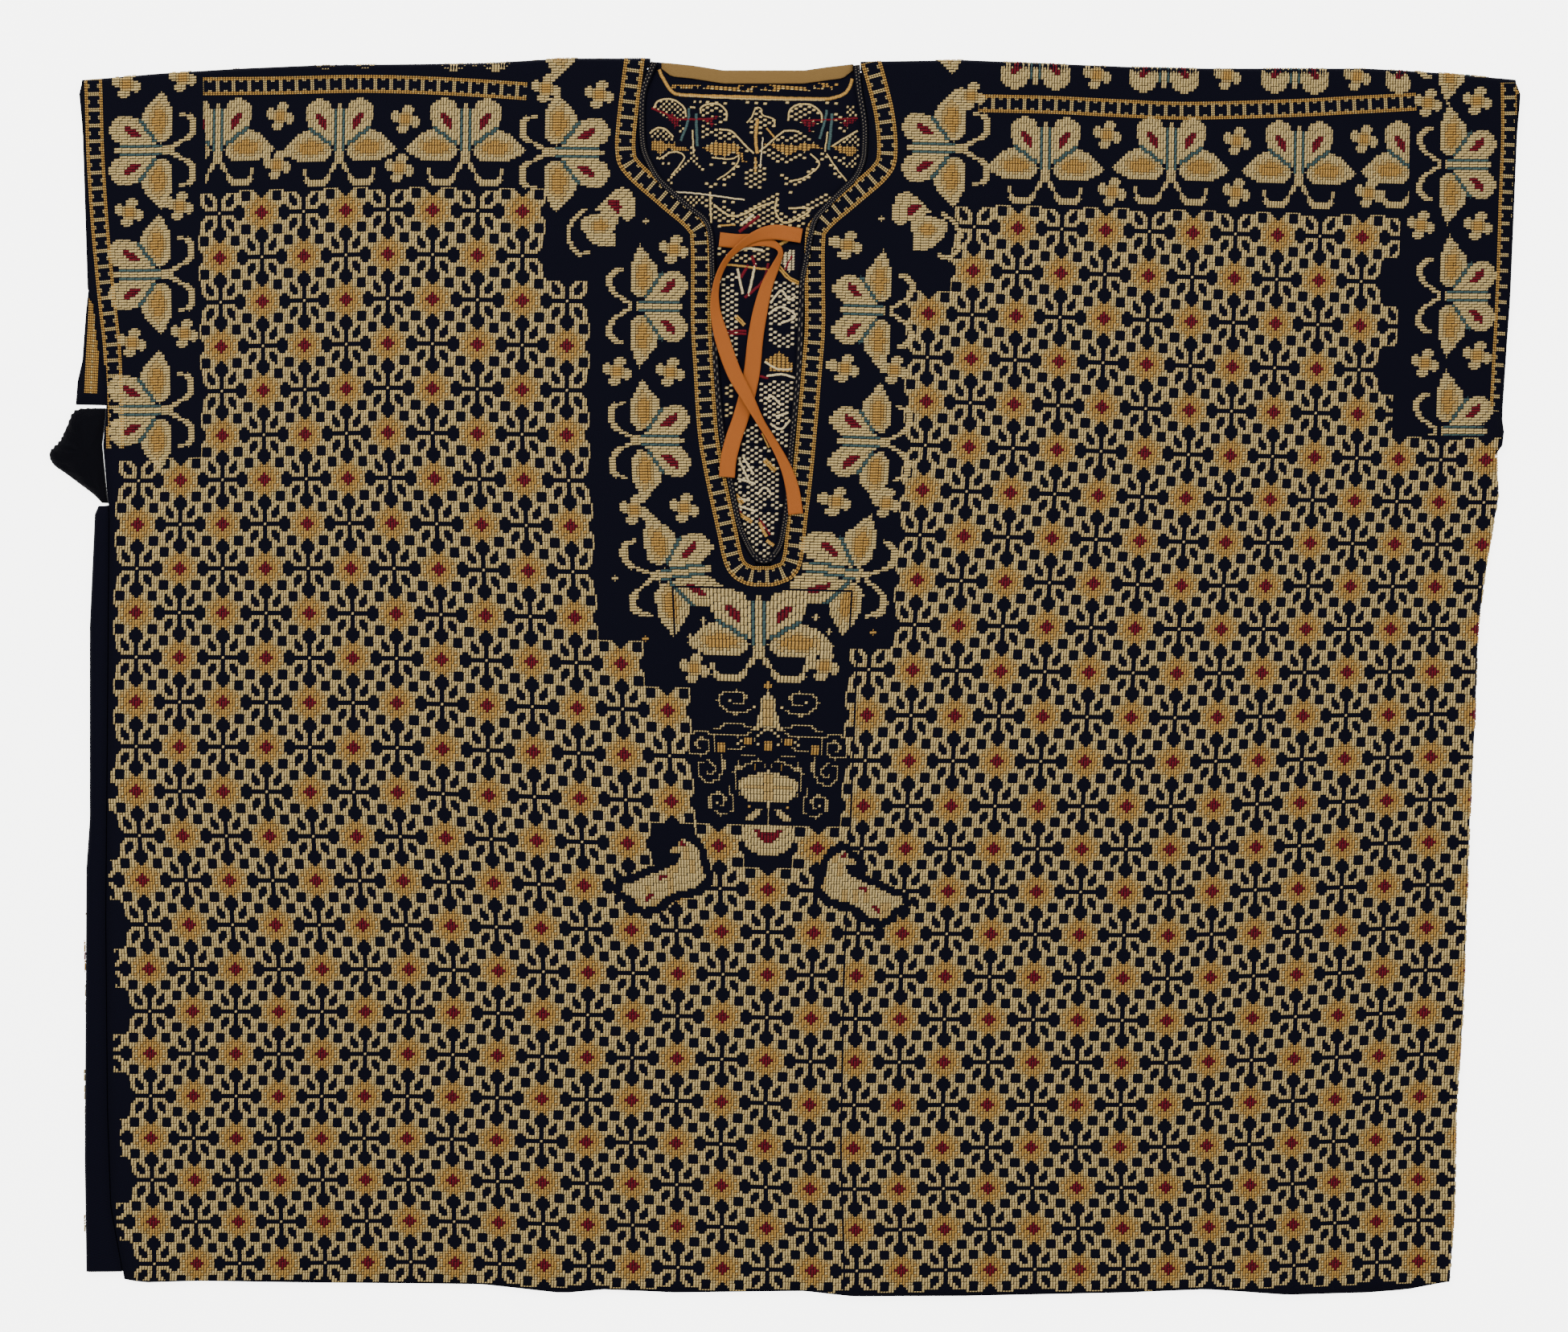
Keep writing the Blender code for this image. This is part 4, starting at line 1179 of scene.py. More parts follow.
def maths(tree, operation, first, second=None):
    """A math node on two inputs, each a socket or a number."""
    node = tree.nodes.new("ShaderNodeMath")
    node.operation = operation
    for k, given in enumerate((first, second)):
        if given is None:
            continue
        if isinstance(given, (int, float)):
            node.inputs[k].default_value = given
        else:
            tree.links.new(given, node.inputs[k])
    return node.outputs[0]


def thread_material():
    """Soft spun thread: the map's rows give the colour, its places a random tone, painted shade at its
    sides and ends, and the twist's painted shade and relief.
    """
    palette = bpy.context.scene.tunic_threads
    material = bpy.data.materials.new("thread")
    tree, shader = node_tree(material)
    uv = add_node(tree, "ShaderNodeUVMap", uv_map="OFBake")
    split = add_node(tree, "ShaderNodeSeparateXYZ")
    link_chain(tree, (uv.outputs[0], split.inputs[0]))
    across = maths(tree, "MULTIPLY", split.outputs[0], float(MAP_STITCHES))
    up = maths(tree, "MULTIPLY", split.outputs[1], float(MAP_STITCHES))
    ramp = add_node(tree, "ShaderNodeValToRGB")
    ramp.color_ramp.interpolation = "CONSTANT"
    stops = ramp.color_ramp.elements
    while len(stops) < len(THREADS):
        stops.new(1.0)
    for k, name in enumerate(THREADS):
        stops[k].position = k / len(THREADS)
        stops[k].color = (*getattr(palette, name), 1.0)
    link_chain(tree, (split.outputs[1], ramp.inputs[0]))
    cell = add_node(tree, "ShaderNodeCombineXYZ")
    link_chain(tree, (maths(tree, "FLOOR", across), cell.inputs[0]),
               (maths(tree, "FLOOR", up), cell.inputs[1]))
    shade = add_node(tree, "ShaderNodeTexWhiteNoise", noise_dimensions="2D")
    link_chain(tree, (cell.outputs[0], shade.inputs[0]))
    tone = maths(tree, "ADD", maths(tree, "MULTIPLY", shade.outputs[0], TONE_SPREAD), TONE_LEAST)
    # Painted shade: each stitch is darker towards its sides and ends and lightest in its middle; rib also
    # gives the bump's height
    side = maths(tree, "ABSOLUTE", maths(tree, "SUBTRACT", maths(tree, "FRACT", across), 0.5))
    rib = maths(tree, "SUBTRACT", 1.0, maths(tree, "MULTIPLY", maths(tree, "POWER", side, 2.0), PAINTED_SIDE_SHADE))
    # The twist is painted as shade in the colour and given as relief in the bump
    twist = maths(tree, "SINE", maths(tree, "MULTIPLY", maths(
        tree, "ADD", maths(tree, "MULTIPLY", up, 2.0), across), 2 * math.pi))
    strand = maths(tree, "ADD", maths(tree, "MULTIPLY", twist, TWIST_SHADE), TWIST_LEVEL)
    end = maths(tree, "ABSOLUTE", maths(tree, "SUBTRACT", maths(tree, "FRACT", up), 0.5))
    end_painted_shade = maths(tree, "SUBTRACT", 1.0, maths(tree, "MULTIPLY", maths(tree, "POWER", end, 3.0), PAINTED_END_SHADE))
    rib = maths(tree, "MULTIPLY", rib, end_painted_shade)
    level = maths(tree, "MULTIPLY", maths(tree, "MULTIPLY", tone, rib), strand)
    mix = add_node(tree, "ShaderNodeMix", data_type="RGBA", blend_type="MULTIPLY")
    mix.inputs[0].default_value = 1.0
    grey = add_node(tree, "ShaderNodeCombineColor")
    link_chain(tree, *((level, grey.inputs[k]) for k in range(3)))
    link_chain(tree, (ramp.outputs[0], mix.inputs[6]), (grey.outputs[0], mix.inputs[7]),
               (mix.outputs[2], shader.inputs["Base Color"]))
    bump = add_node(tree, "ShaderNodeBump")
    bump.inputs["Strength"].default_value = 0.5
    bump.inputs["Distance"].default_value = BUMP_DEPTH
    link_chain(tree, (maths(tree, "ADD", rib, maths(tree, "MULTIPLY", twist, TWIST_RELIEF)),
                      bump.inputs["Height"]), (bump.outputs[0], shader.inputs["Normal"]))
    shader.inputs["Roughness"].default_value = 0.65
    shader.inputs["Specular IOR Level"].default_value = 0.12
    return material


def weave_group():
    """Node group of a plain weave: its painted shade, dark in the dips and light on the crowns, and its
    height at a place on the map.
    """
    name = "plain_weave"
    if name in bpy.data.node_groups:
        return bpy.data.node_groups[name]
    group = bpy.data.node_groups.new(name, "ShaderNodeTree")
    group.interface.new_socket("Map", in_out="INPUT", socket_type="NodeSocketVector")
    group.interface.new_socket("Threads", in_out="INPUT", socket_type="NodeSocketFloat")
    group.interface.new_socket("Shade", in_out="OUTPUT", socket_type="NodeSocketColor")
    group.interface.new_socket("Height", in_out="OUTPUT", socket_type="NodeSocketFloat")
    given = group.nodes.new("NodeGroupInput")
    result = group.nodes.new("NodeGroupOutput")
    split = group.nodes.new("ShaderNodeSeparateXYZ")
    turns = maths(group, "MULTIPLY", given.outputs["Threads"], math.tau)
    group.links.new(given.outputs["Map"], split.inputs[0])
    waves = [maths(group, "SINE", maths(group, "MULTIPLY", split.outputs[k], turns)) for k in (0, 1)]
    weave = maths(group, "MULTIPLY", *waves)
    height = maths(group, "ADD", maths(group, "MULTIPLY", weave, 0.5), 0.5)
    # Painted shade: the colour is darker where the weave dips and lighter on its crowns
    level = maths(group, "ADD", maths(group, "MULTIPLY", height, WEAVE_CROWN_LIGHT), WEAVE_DARK)
    grey = group.nodes.new("ShaderNodeCombineColor")
    for k in range(3):
        group.links.new(level, grey.inputs[k])
    group.links.new(grey.outputs[0], result.inputs["Shade"])
    group.links.new(height, result.inputs["Height"])
    return group


def weave_material(name, colour, rough):
    """Cloth of one colour with the plain weave's painted shade and its relief."""
    material = bpy.data.materials.new(name)
    tree, shader = node_tree(material)
    uv = add_node(tree, "ShaderNodeUVMap", uv_map="OFBake")
    weave = add_node(tree, "ShaderNodeGroup")
    weave.node_tree = weave_group()
    weave.inputs["Threads"].default_value = WEAVE_THREADS
    mix = add_node(tree, "ShaderNodeMix", data_type="RGBA", blend_type="MULTIPLY")
    mix.inputs[0].default_value = 1.0
    mix.inputs[6].default_value = (*colour, 1.0)
    bump = add_node(tree, "ShaderNodeBump")
    bump.inputs["Strength"].default_value = 0.6
    bump.inputs["Distance"].default_value = BUMP_DEPTH
    link_chain(tree, (uv.outputs[0], weave.inputs["Map"]), (weave.outputs["Shade"], mix.inputs[7]),
               (mix.outputs[2], shader.inputs["Base Color"]),
               (weave.outputs["Height"], bump.inputs["Height"]), (bump.outputs[0], shader.inputs["Normal"]))
    shader.inputs["Roughness"].default_value = rough
    shader.inputs["Specular IOR Level"].default_value = 0.08
    return material


def material_of(name):
    """The named finish, made when it is first asked for."""
    found = bpy.data.materials.get(name)
    if found:
        return found
    if name == "thread":
        return thread_material()
    colour = getattr(bpy.context.scene.tunic_cloth, name.removesuffix("_weave"))
    return weave_material(name, colour, RIBBON_ROUGH if name == "ribbon_weave" else CLOTH_ROUGH)


def add_shell(name, outer, inner, present, material, map_size=WEAVE_SIZE):
    """A closed cloth wall from two grids of points; its map runs along the grid."""
    outer, inner = np.asarray(outer, float), np.asarray(inner, float)
    rows, columns = outer.shape[:2]
    run_r, run_c = run_along(outer[:, columns // 2]), run_along(outer[rows // 2])
    points, index, faces, uv = [], {}, [], []

    def corner(side, r, c):
        key = (side, r, c)
        if key not in index:
            index[key] = len(points)
            points.append((outer, inner)[side][r, c])
        return index[key]

    def cloth(r, c):
        return 0 <= r < rows - 1 and 0 <= c < columns - 1 and present(r, c)

    def spot(r, c, aside=0.0):
        return ((run_c[c] + aside) / map_size, (run_r[r] + aside) / map_size)

    for r in range(rows - 1):
        for c in range(columns - 1):
            if not cloth(r, c):
                continue
            ring = [(r, c), (r + 1, c), (r + 1, c + 1), (r, c + 1)]
            faces.append([corner(0, *p) for p in ring])
            uv += [spot(*p) for p in ring]
            faces.append([corner(1, *p) for p in reversed(ring)])
            uv += [spot(*p) for p in reversed(ring)]
            beyond = [(r, c - 1), (r + 1, c), (r, c + 1), (r - 1, c)]
            for i, cell in enumerate(beyond):
                if not cloth(*cell):
                    a, b = ring[i], ring[(i + 1) % 4]
                    faces.append([corner(0, *b), corner(0, *a), corner(1, *a), corner(1, *b)])
                    uv += [spot(*b), spot(*a), spot(*a, WALL), spot(*b, WALL)]
    return add_piece(name, points, faces, material, uv)


def binding_edges(count=109):
    """Points along the bound edge of the neck, and where the cloth begins behind it."""
    left = [(row[1], row[0]) for row in NECK]
    right = [(row[2], row[0]) for row in NECK]
    left[0], right[0] = NECK_TOP_LEFT, NECK_TOP_RIGHT
    edge = np.concatenate([smooth_rows(left, count), SLIT_TURN, smooth_rows(right, count)[::-1]])
    ways = directions(edge)
    far = np.stack([edge[:, 0] + ways[:, 1] * BIND_WIDTH, edge[:, 1] - ways[:, 0] * BIND_WIDTH], 1)
    return edge, far


def make_front():
    """The front panel's cloth, from the floor behind the shoulder fold to the hem."""
    _, bound = binding_edges()
    middle = len(bound) // 2
    halves = [[(y, x) for x, y in half] for half in (bound[:middle], bound[middle:])]
    top_level = SHOULDER_LINE - FOLD_RADIUS
    levels = [*np.linspace(top_level, 312, 9), *np.linspace(309, 254, 20), *np.linspace(246, 94, 20),
              88, 84, 80, 77, 74.5, 72.5, 71, 69.5, 68, 66.5, 65.3, SLIT_END]
    levels += [*np.linspace(SLIT_END, HEM_LINE, 66)][1:]
    half = FRONT_COLUMNS
    over, under = (
        [(radius * math.sin(a), FOLD_RADIUS + radius * math.cos(a)) for a in FOLD_TURNS]
        + [(-FOLD_TAIL, FOLD_RADIUS - radius)] for radius in (FOLD_RADIUS, FOLD_RADIUS - WALL))

    rows_outer, rows_inner = [], []
    for level in levels:
        part = (top_level - level) / (top_level - HEM_LINE)

        def up(x):
            top = value(TOP_FOLD, x) - FOLD_RADIUS
            return top + (value(HEM, x) - top) * part

        left, right = value(FRONT_LEFT, up(-405)), value(FRONT_RIGHT, up(415))
        if level <= SIDE_FOLD_TOP:
            right -= FOLD_RADIUS
        slit = []
        for side, clear in zip(halves, (-BIND_CLEAR, BIND_CLEAR)):
            x = -12.0
            for _ in range(4):
                x = float(value(side, max(up(x), SLIT_END + SLIT_ROUNDING))) + clear
            slit.append(x)
        if level < SLIT_END:
            even = [left + (right - left) * k / (2 * half + 1) for k in (half, half + 1)]
            near = math.exp((level - SLIT_END) / SLIT_FADE)
            slit = [near * s + (1 - near) * e for s, e in zip(slit, even)]
        x = np.concatenate([np.linspace(left, slit[0], half + 1),
                            np.linspace(slit[1], right, half + 1)])
        y = up(x)
        z = front_height(x, y)
        outer = np.stack([x, y, z], 1)
        inner = np.stack([x, y, z - WALL], 1)
        ends = np.array([(x[-1] + out, y[-1], high) for out, high in over])
        ends_in = np.array([(x[-1] + out, y[-1], high) for out, high in under])
        rows_outer.append(np.concatenate([outer, ends]))
        rows_inner.append(np.concatenate([inner, ends_in]))
    turned_outer = [rows_outer[0] * (1, 1, 0) + (0, out, high) for out, high in reversed(over)]
    turned_inner = [rows_outer[0] * (1, 1, 0) + (0, out, high) for out, high in reversed(under)]
    turned, columns = len(over), 2 * half + 2

    def present(r, c):
        if c >= columns - 1:
            return r >= turned and levels[r - turned] <= SIDE_FOLD_TOP
        if c == half:
            return r >= turned and levels[r - turned] <= SLIT_END
        return True

    return add_shell("front_cloth", turned_outer + rows_outer, turned_inner + rows_inner,
                     present, material_of("navy_weave"))


def back_left(level):
    if level > SLEEVE_END:
        return float(value(BACK_SLEEVE, level)) + 0.5
    if level > SEAM_TOP:
        return float(value(FRONT_LEFT, level)) + 3
    return float(value(SIDE_FOLD, level)) + FOLD_RADIUS


def back_row(level):
    """Across and up of each point in one row of the back, where it lies flat."""
    inset = UNDER_FOLD if level <= SIDE_FOLD_TOP + 3 else 5 * GAP
    right = float(value(FRONT_RIGHT, level)) - inset
    row = []
    for x in [back_left(level)] + BACK_COLUMNS + [right]:
        in_neck = NECK_COLUMNS[0] <= x <= NECK_COLUMNS[1]
        top = float(value(BACK_NECK, x) if in_neck else value(TOP_FOLD, x) - UNDER_FOLD - 0.2)
        y = level + (top - BACK_TOP) * max(0, 1 - (BACK_TOP - level) / NECK_DIP_REACH)
        if level < SEAM_END:
            y = min(SEAM_END, float(value(HEM, x)) + 4) if x > BACK_HEM_LEFT else level
        row.append((x, y))
    return row


def back_turn(level, base, y):
    """The left side of one row of the back, from the seam on the front round to the floor."""
    seam = float(value(FRONT_LEFT, level)) - SEAM_CLEAR
    shelf = [(seam, FRONT_TOP + 0.3), ((base + seam) / 2, 4.4), (base, 2 * FOLD_RADIUS)]
    outer = [(x, y, z) for x, z in shelf]
    inner = [(x, y, z - WALL) for x, z in shelf]
    for a in np.linspace(0, math.pi, 9)[1:-1]:
        for face, radius in ((outer, FOLD_RADIUS), (inner, FOLD_RADIUS - WALL)):
            high = FOLD_RADIUS + radius * math.cos(a)
            face.append((base - radius * math.sin(a), y, max(high, BACK_LIFT if face is outer else 0)))
    return outer, inner


def make_back():
    """The back panel's cloth, with its left side turned up to the seam on the front."""
    outer, inner = [], []
    for level in BACK_LEVELS:
        row = back_row(level)
        turn_outer, turn_inner = back_turn(level, *row[0])
        outer.append(turn_outer + [(x, y, BACK_LIFT) for x, y in row])
        inner.append(turn_inner + [(x, y, WALL) for x, y in row])
    turned, last = 10, len(outer[0]) - 2

    def present(r, c):
        return last - c >= turned or BACK_LEVELS[r] <= SEAM_TOP

    return add_shell("back_cloth", [row[::-1] for row in outer], [row[::-1] for row in inner],
                     present, material_of("navy_weave"))


def sweep(name, sections, material, map_size):
    """A closed bar through sections that each have the same number of points."""
    sections = np.asarray(sections, float)
    count, around = sections.shape[:2]
    run = run_along(sections.mean(1)) / map_size
    edge = np.linalg.norm(np.roll(sections[count // 2], -1, axis=0) - sections[count // 2], axis=1)
    girth = np.concatenate(([0], np.cumsum(edge))) / map_size
    faces, uv = [], []
    for s in range(count - 1):
        for k in range(around):
            a, b = s * around + k, s * around + (k + 1) % around
            faces.append([a, a + around, b + around, b])
            uv += [(girth[k], run[s]), (girth[k], run[s + 1]), (girth[k + 1], run[s + 1]),
                   (girth[k + 1], run[s])]
    last = (count - 1) * around
    faces.append(list(range(around)))
    faces.append([last + k for k in range(around)][::-1])
    for s in (0, count - 1):
        flat = [(girth[k], run[s]) for k in range(around)]
        uv += flat if s == 0 else flat[::-1]
    return add_piece(name, sections.reshape(-1, 3), faces, material, uv)


def make_binding():
    """Folded edging along both sides of the neck and round the end of the slit."""
    edge, far = binding_edges()
    base = front_height(*((edge + far) / 2).T) - WALL / 2 + BIND_LIFT
    sections = [[(*(near + (away - near) * share), low + high * BIND_HEIGHT / 2)
                 for share, high in BINDING_SECTION] for near, away, low in zip(edge, far, base)]
    return sweep("binding", sections, material_of("binding_weave"), WEAVE_SIZE)


def make_tape():
    """Flat tape inside the back neck, along its edge."""
    first, last = TAPE_ENDS
    xs = np.linspace(first, last, 46)
    taper = np.minimum(1.0, np.minimum(xs - first, last - xs) / TAPE_TAPER + 0.5)
    edge = value(BACK_NECK, xs)
    outer, inner = [], []
    for lower, sink in ((TAPE_CLEAR, 0.25), (1.2, 0), (TAPE_WIDTH / 2, 0.08), (TAPE_WIDTH - 0.8, 0),
                        (TAPE_WIDTH, 0.25)):
        wave = 0.12 * np.sin(xs * 0.9) * (lower > 6)
        top = WALL + GAP + TAPE_THICK - sink + wave
        outer.append(np.stack([xs, edge - lower * taper, top], 1))
        inner.append(np.stack([xs, edge - lower * taper, 0 * xs + WALL + GAP], 1))
    return add_shell("neck_tape", outer, inner, lambda r, c: True, material_of("tape_weave"),
                     WEAVE_SIZE / 2)


def make_tie(name, table, stations):
    """A ribbon along its route, a little cupped, its face tilted where it turns on edge."""
    rows = smooth_rows(table, stations)
    sections = []
    for (x, y, z, width, tilt), (along_x, along_y) in zip(rows, directions(rows)):
        a = math.radians(tilt)
        aside = np.array((along_y * math.cos(a), -along_x * math.cos(a), math.sin(a)))
        face = np.array((-along_y * math.sin(a), along_x * math.sin(a), math.cos(a)))
        middle = np.array((x, y, z))
        top, under = [], []
        for share in np.linspace(1, -1, 9):
            cup = 0.10 * (1 - share * share)
            edge = RIBBON_THICK / 2 * (1 - 0.6 * abs(share) ** 8)
            at = middle + aside * share * width / 2 - face * cup
            top.append(at + face * edge)
            under.append(at - face * edge)
        sections.append(under[:1] + top + under[:0:-1])
    return sweep(name, sections, material_of("ribbon_weave"), WEAVE_SIZE / 2)


def make_gusset():
    """The underarm gusset, pushed out and heaped, with crumples and a frayed edge."""
    loose = smooth_rows(GUSSET, 56)
    seam = np.array([(float(value(FRONT_LEFT, y)) - SEAM_CLEAR, y) for y in GUSSET_SEAM])
    ring = np.concatenate([loose, seam])
    count, centre = len(ring), np.array(GUSSET_CENTRE)
    points, faces, uv = [], [], []
    for inset, z in GUSSET_RINGS:
        for k, p in enumerate(ring):
            inward = centre - p
            moved = p + inward * min(inset / np.linalg.norm(inward), 0.85)
            inner = min(1.0, inset / 3)
            fold = math.sin(0.55 * moved[0] + 0.9 * moved[1]) * math.cos(0.35 * moved[1] - 0.2 * moved[0])
            nibble = 0.35 * math.sin(2.9 * k) * (1 - inner) * (k < len(loose))
            points.append((moved[0] + nibble, moved[1] - nibble, z + 0.55 * inner * fold * (z > 3)))
    points += [(*centre, 0.0), (*centre, GUSSET_CROWN)]
    flat = [(x / WEAVE_SIZE, (y + z) / WEAVE_SIZE) for x, y, z in points]
    for s in range(len(GUSSET_RINGS) - 1):
        for k in range(count):
            a, b = s * count + k, s * count + (k + 1) % count
            faces.append([a, b, b + count, a + count])
    last = (len(GUSSET_RINGS) - 1) * count
    for k in range(count):
        after = (k + 1) % count
        faces.append([after, k, len(points) - 2])
        faces.append([last + k, last + after, len(points) - 1])
    uv = [flat[i] for face in faces for i in face]
    return add_piece("gusset", points, faces, material_of("gusset_weave"), uv)


def clip_front(chart):
    """Takes off stitches past the hem, the open edges and the neck."""
    u, v = chart.grid()
    x, y = stitch_place(u, v)
    top = value(TOP_FOLD, x) + FOLD_RADIUS
    side = value(FRONT_RIGHT, y) + np.where(y < SIDE_FOLD_TOP, 1.2 * FOLD_RADIUS, -1.0)
    off = (y < value(HEM, x) + 0.7) | (y > top) | (x > side) | (x < value(FRONT_LEFT, y) + 1.0)
    chart.cells[off] = 0
    return x, y


class TunicStitches(bpy.types.PropertyGroup):
    """Sizes of the counted stitches"""

    across: bpy.props.FloatProperty(name="Across", description="Width of one stitch",
                                    default=0.001667, unit="LENGTH", precision=6)
    up: bpy.props.FloatProperty(name="Up", description="Height of one stitch",
                                default=0.001612, unit="LENGTH", precision=6)
    base: bpy.props.FloatProperty(name="Foot", description="Height of a stitch's foot over the cloth",
                                  default=0.00008, unit="LENGTH", precision=6)
    crown: bpy.props.FloatProperty(name="Crown", description="Height of a stitch's crown over the cloth",
                                   default=0.0005, unit="LENGTH", precision=6)
    lean: bpy.props.FloatProperty(name="Lean", description="Slant of a stitch, as a share of its width",
                                  default=0.07, min=0, max=0.4)
    margin: bpy.props.FloatProperty(name="Margin", description="Gap between two stitches, as a share",
                                    default=0.08, min=0, max=0.3)
    bare: bpy.props.FloatProperty(name="Bare", description="Gap beside bare cloth, as a share",
                                  default=0.36, min=0, max=0.45)


def colour_property(name, text, default):
    return bpy.props.FloatVectorProperty(name=name, description=text, subtype="COLOR", size=3,
                                         min=0, max=1, default=default)


class TunicThreads(bpy.types.PropertyGroup):
    """Colours of the embroidery threads"""

    cream: colour_property("Cream", "Main thread", (0.53, 0.385, 0.15))
    gold: colour_property("Gold", "Second thread", (0.42, 0.225, 0.045))
    red: colour_property("Red", "Star and wing spots", (0.125, 0.0, 0.007))
    teal: colour_property("Teal", "Bodies and wing lines", (0.045, 0.085, 0.082))
    honey: colour_property("Honey", "Between cream and gold", (0.47, 0.30, 0.09))
    navy: colour_property("Navy", "Dark thread", (0.003, 0.003, 0.009))
    white: colour_property("White", "Bleached thread ends", (0.62, 0.50, 0.27))
    brown: colour_property("Brown", "Dark gold thread", (0.16, 0.135, 0.10))


class TunicCloth(bpy.types.PropertyGroup):
    """Colours of the cloths"""

    navy: colour_property("Navy", "Front and back", (0.0012, 0.0012, 0.0052))
    gusset: colour_property("Gusset", "Underarm gusset", (0.0008, 0.0008, 0.0022))
    binding: colour_property("Binding", "Folded edging of the neck", (0.0035, 0.0033, 0.006))
    tape: colour_property("Tape", "Tape inside the back neck", (0.19, 0.112, 0.036))
    ribbon: colour_property("Ribbon", "Neck ties", (0.31, 0.088, 0.016))


class OBJECT_OT_tunic_front(bpy.types.Operator):
    """Builds the front panel's cloth"""

    bl_idname = "object.tunic_front"
    bl_label = "Front cloth"

    def execute(self, context):
        cloth = make_front()
        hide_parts("front_panel")
        return {"FINISHED"}


class OBJECT_OT_tunic_back(bpy.types.Operator):
    """Builds the back panel's cloth"""

    bl_idname = "object.tunic_back"
    bl_label = "Back cloth"

    def execute(self, context):
        cloth = make_back()
        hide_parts("back_panel")
        return {"FINISHED"}


class OBJECT_OT_tunic_gusset(bpy.types.Operator):
    """Builds the underarm gusset that is pushed out at the left"""

    bl_idname = "object.tunic_gusset"
    bl_label = "Gusset"

    def execute(self, context):
        cloth = make_gusset()
        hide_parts("underarm_gusset")
        return {"FINISHED"}


class OBJECT_OT_tunic_edging(bpy.types.Operator):
    """Builds the neck's folded edging and the tape inside its back"""

    bl_idname = "object.tunic_edging"
    bl_label = "Edging and tape"

    def execute(self, context):
        edging = make_binding()
        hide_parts("neck_binding")
        tape = make_tape()
        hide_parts("back_neck_tape")
        return {"FINISHED"}


class OBJECT_OT_tunic_ties(bpy.types.Operator):
    """Builds the two ribbon ties"""

    bl_idname = "object.tunic_ties"
    bl_label = "Ties"

    def execute(self, context):
        for name, table, stations in (("right_tie", RIGHT_TIE, 120), ("left_tie", LEFT_TIE, 110)):
            tie = make_tie(f"{name}_ribbon", table, stations)
            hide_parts(name)
        return {"FINISHED"}


class OBJECT_OT_tunic_ground(bpy.types.Operator):
    """Embroiders the star and flower ground of the front"""

    bl_idname = "object.tunic_ground"
    bl_label = "Star ground"

    def execute(self, context):
        left, low, right, high = GROUND_BOX
        chart = Chart(*GROUND_BOX)
        draw_ground(chart, ground_spots())
        clear_birds(chart)
        clip_front(chart)
        for name, first, last in (("left_ground", left, GROUND_SPLIT),
                                  ("right_ground", GROUND_SPLIT, right)):
            part = Chart(first, low, last, high)
            part.cells[:] = chart.cells[:, first - left:last - left]
            sew(name, part, place_on_front)
        return {"FINISHED"}


class OBJECT_OT_tunic_borders(bpy.types.Operator):
    """Embroiders the butterflies and pinwheels of the borders"""

    bl_idname = "object.tunic_borders"
    bl_label = "Borders"

    def execute(self, context):
        wheel = pinwheel()
        for name, places in BUTTERFLIES.items():
            chart = Chart(*BORDER_BOX)
            for x, y, *turned in places:
                chart.draw(*stitch_at(x, y), turned_motif(butterfly, BUTTERFLY_BLOCK, *turned))
            for x, y in PINWHEELS[name]:
                chart.draw(*stitch_at(x, y), wheel, keep=True)
            if name == "neck_border":
                draw_half_butterflies(chart)
            x, _ = clip_front(chart)
            first, last = BORDER_ENDS.get(name, (-500, 500))
            chart.cells[(x < first) | (x > last)] = 0
            if name == "right_sleeve_border":
                chart.cells[stitch_place(*chart.grid())[1] < SLEEVE_BORDER_FOOT] = 0
            if "shoulder" in name:
                sew(name, chart, place_on_front)
                continue
            end = Chart(*BORDER_BOX)
            if name == "neck_border":
                middle, level = stitch_at(*END_TOP)
                u, v = chart.grid()
                upright = (np.abs(u - middle) < END_HALF) & (v < level)
                end.cells[upright] = chart.cells[upright]
                chart.cells[upright] = 0
            sew(name, chart, place_on_front, sideways=True)
            if end.cells.any():
                sew(f"{name}_end", end, place_on_front)
        return {"FINISHED"}


class OBJECT_OT_tunic_ornament(bpy.types.Operator):
    """Embroiders the chest ornament and the two shapes beside it"""

    bl_idname = "object.tunic_ornament"
    bl_label = "Chest ornament"

    def execute(self, context):
        middle, top = stitch_at(*ORNAMENT_TOP)
        block = (middle - ORNAMENT_HALF, top - ORNAMENT_LONG, middle + ORNAMENT_HALF + 1, top + 5)
        for name, scrolls, longest in (("chest_scrolls", True, 1), ("chest_ornament", False, 3)):
            chart = Chart(*block)
            draw_ornament(chart, scrolls)
            if scrolls:
                solid = Chart(*block)
                draw_ornament(solid, False)
                chart.cells[solid.cells > 0] = 0
            sew(name, chart, place_on_front, longest)
        birds = Chart(middle - BIRDS_HALF, top - ORNAMENT_LONG, middle + BIRDS_HALF + 1, top)
        draw_birds(birds)
        sew("chest_birds", birds, place_on_front)
        return {"FINISHED"}


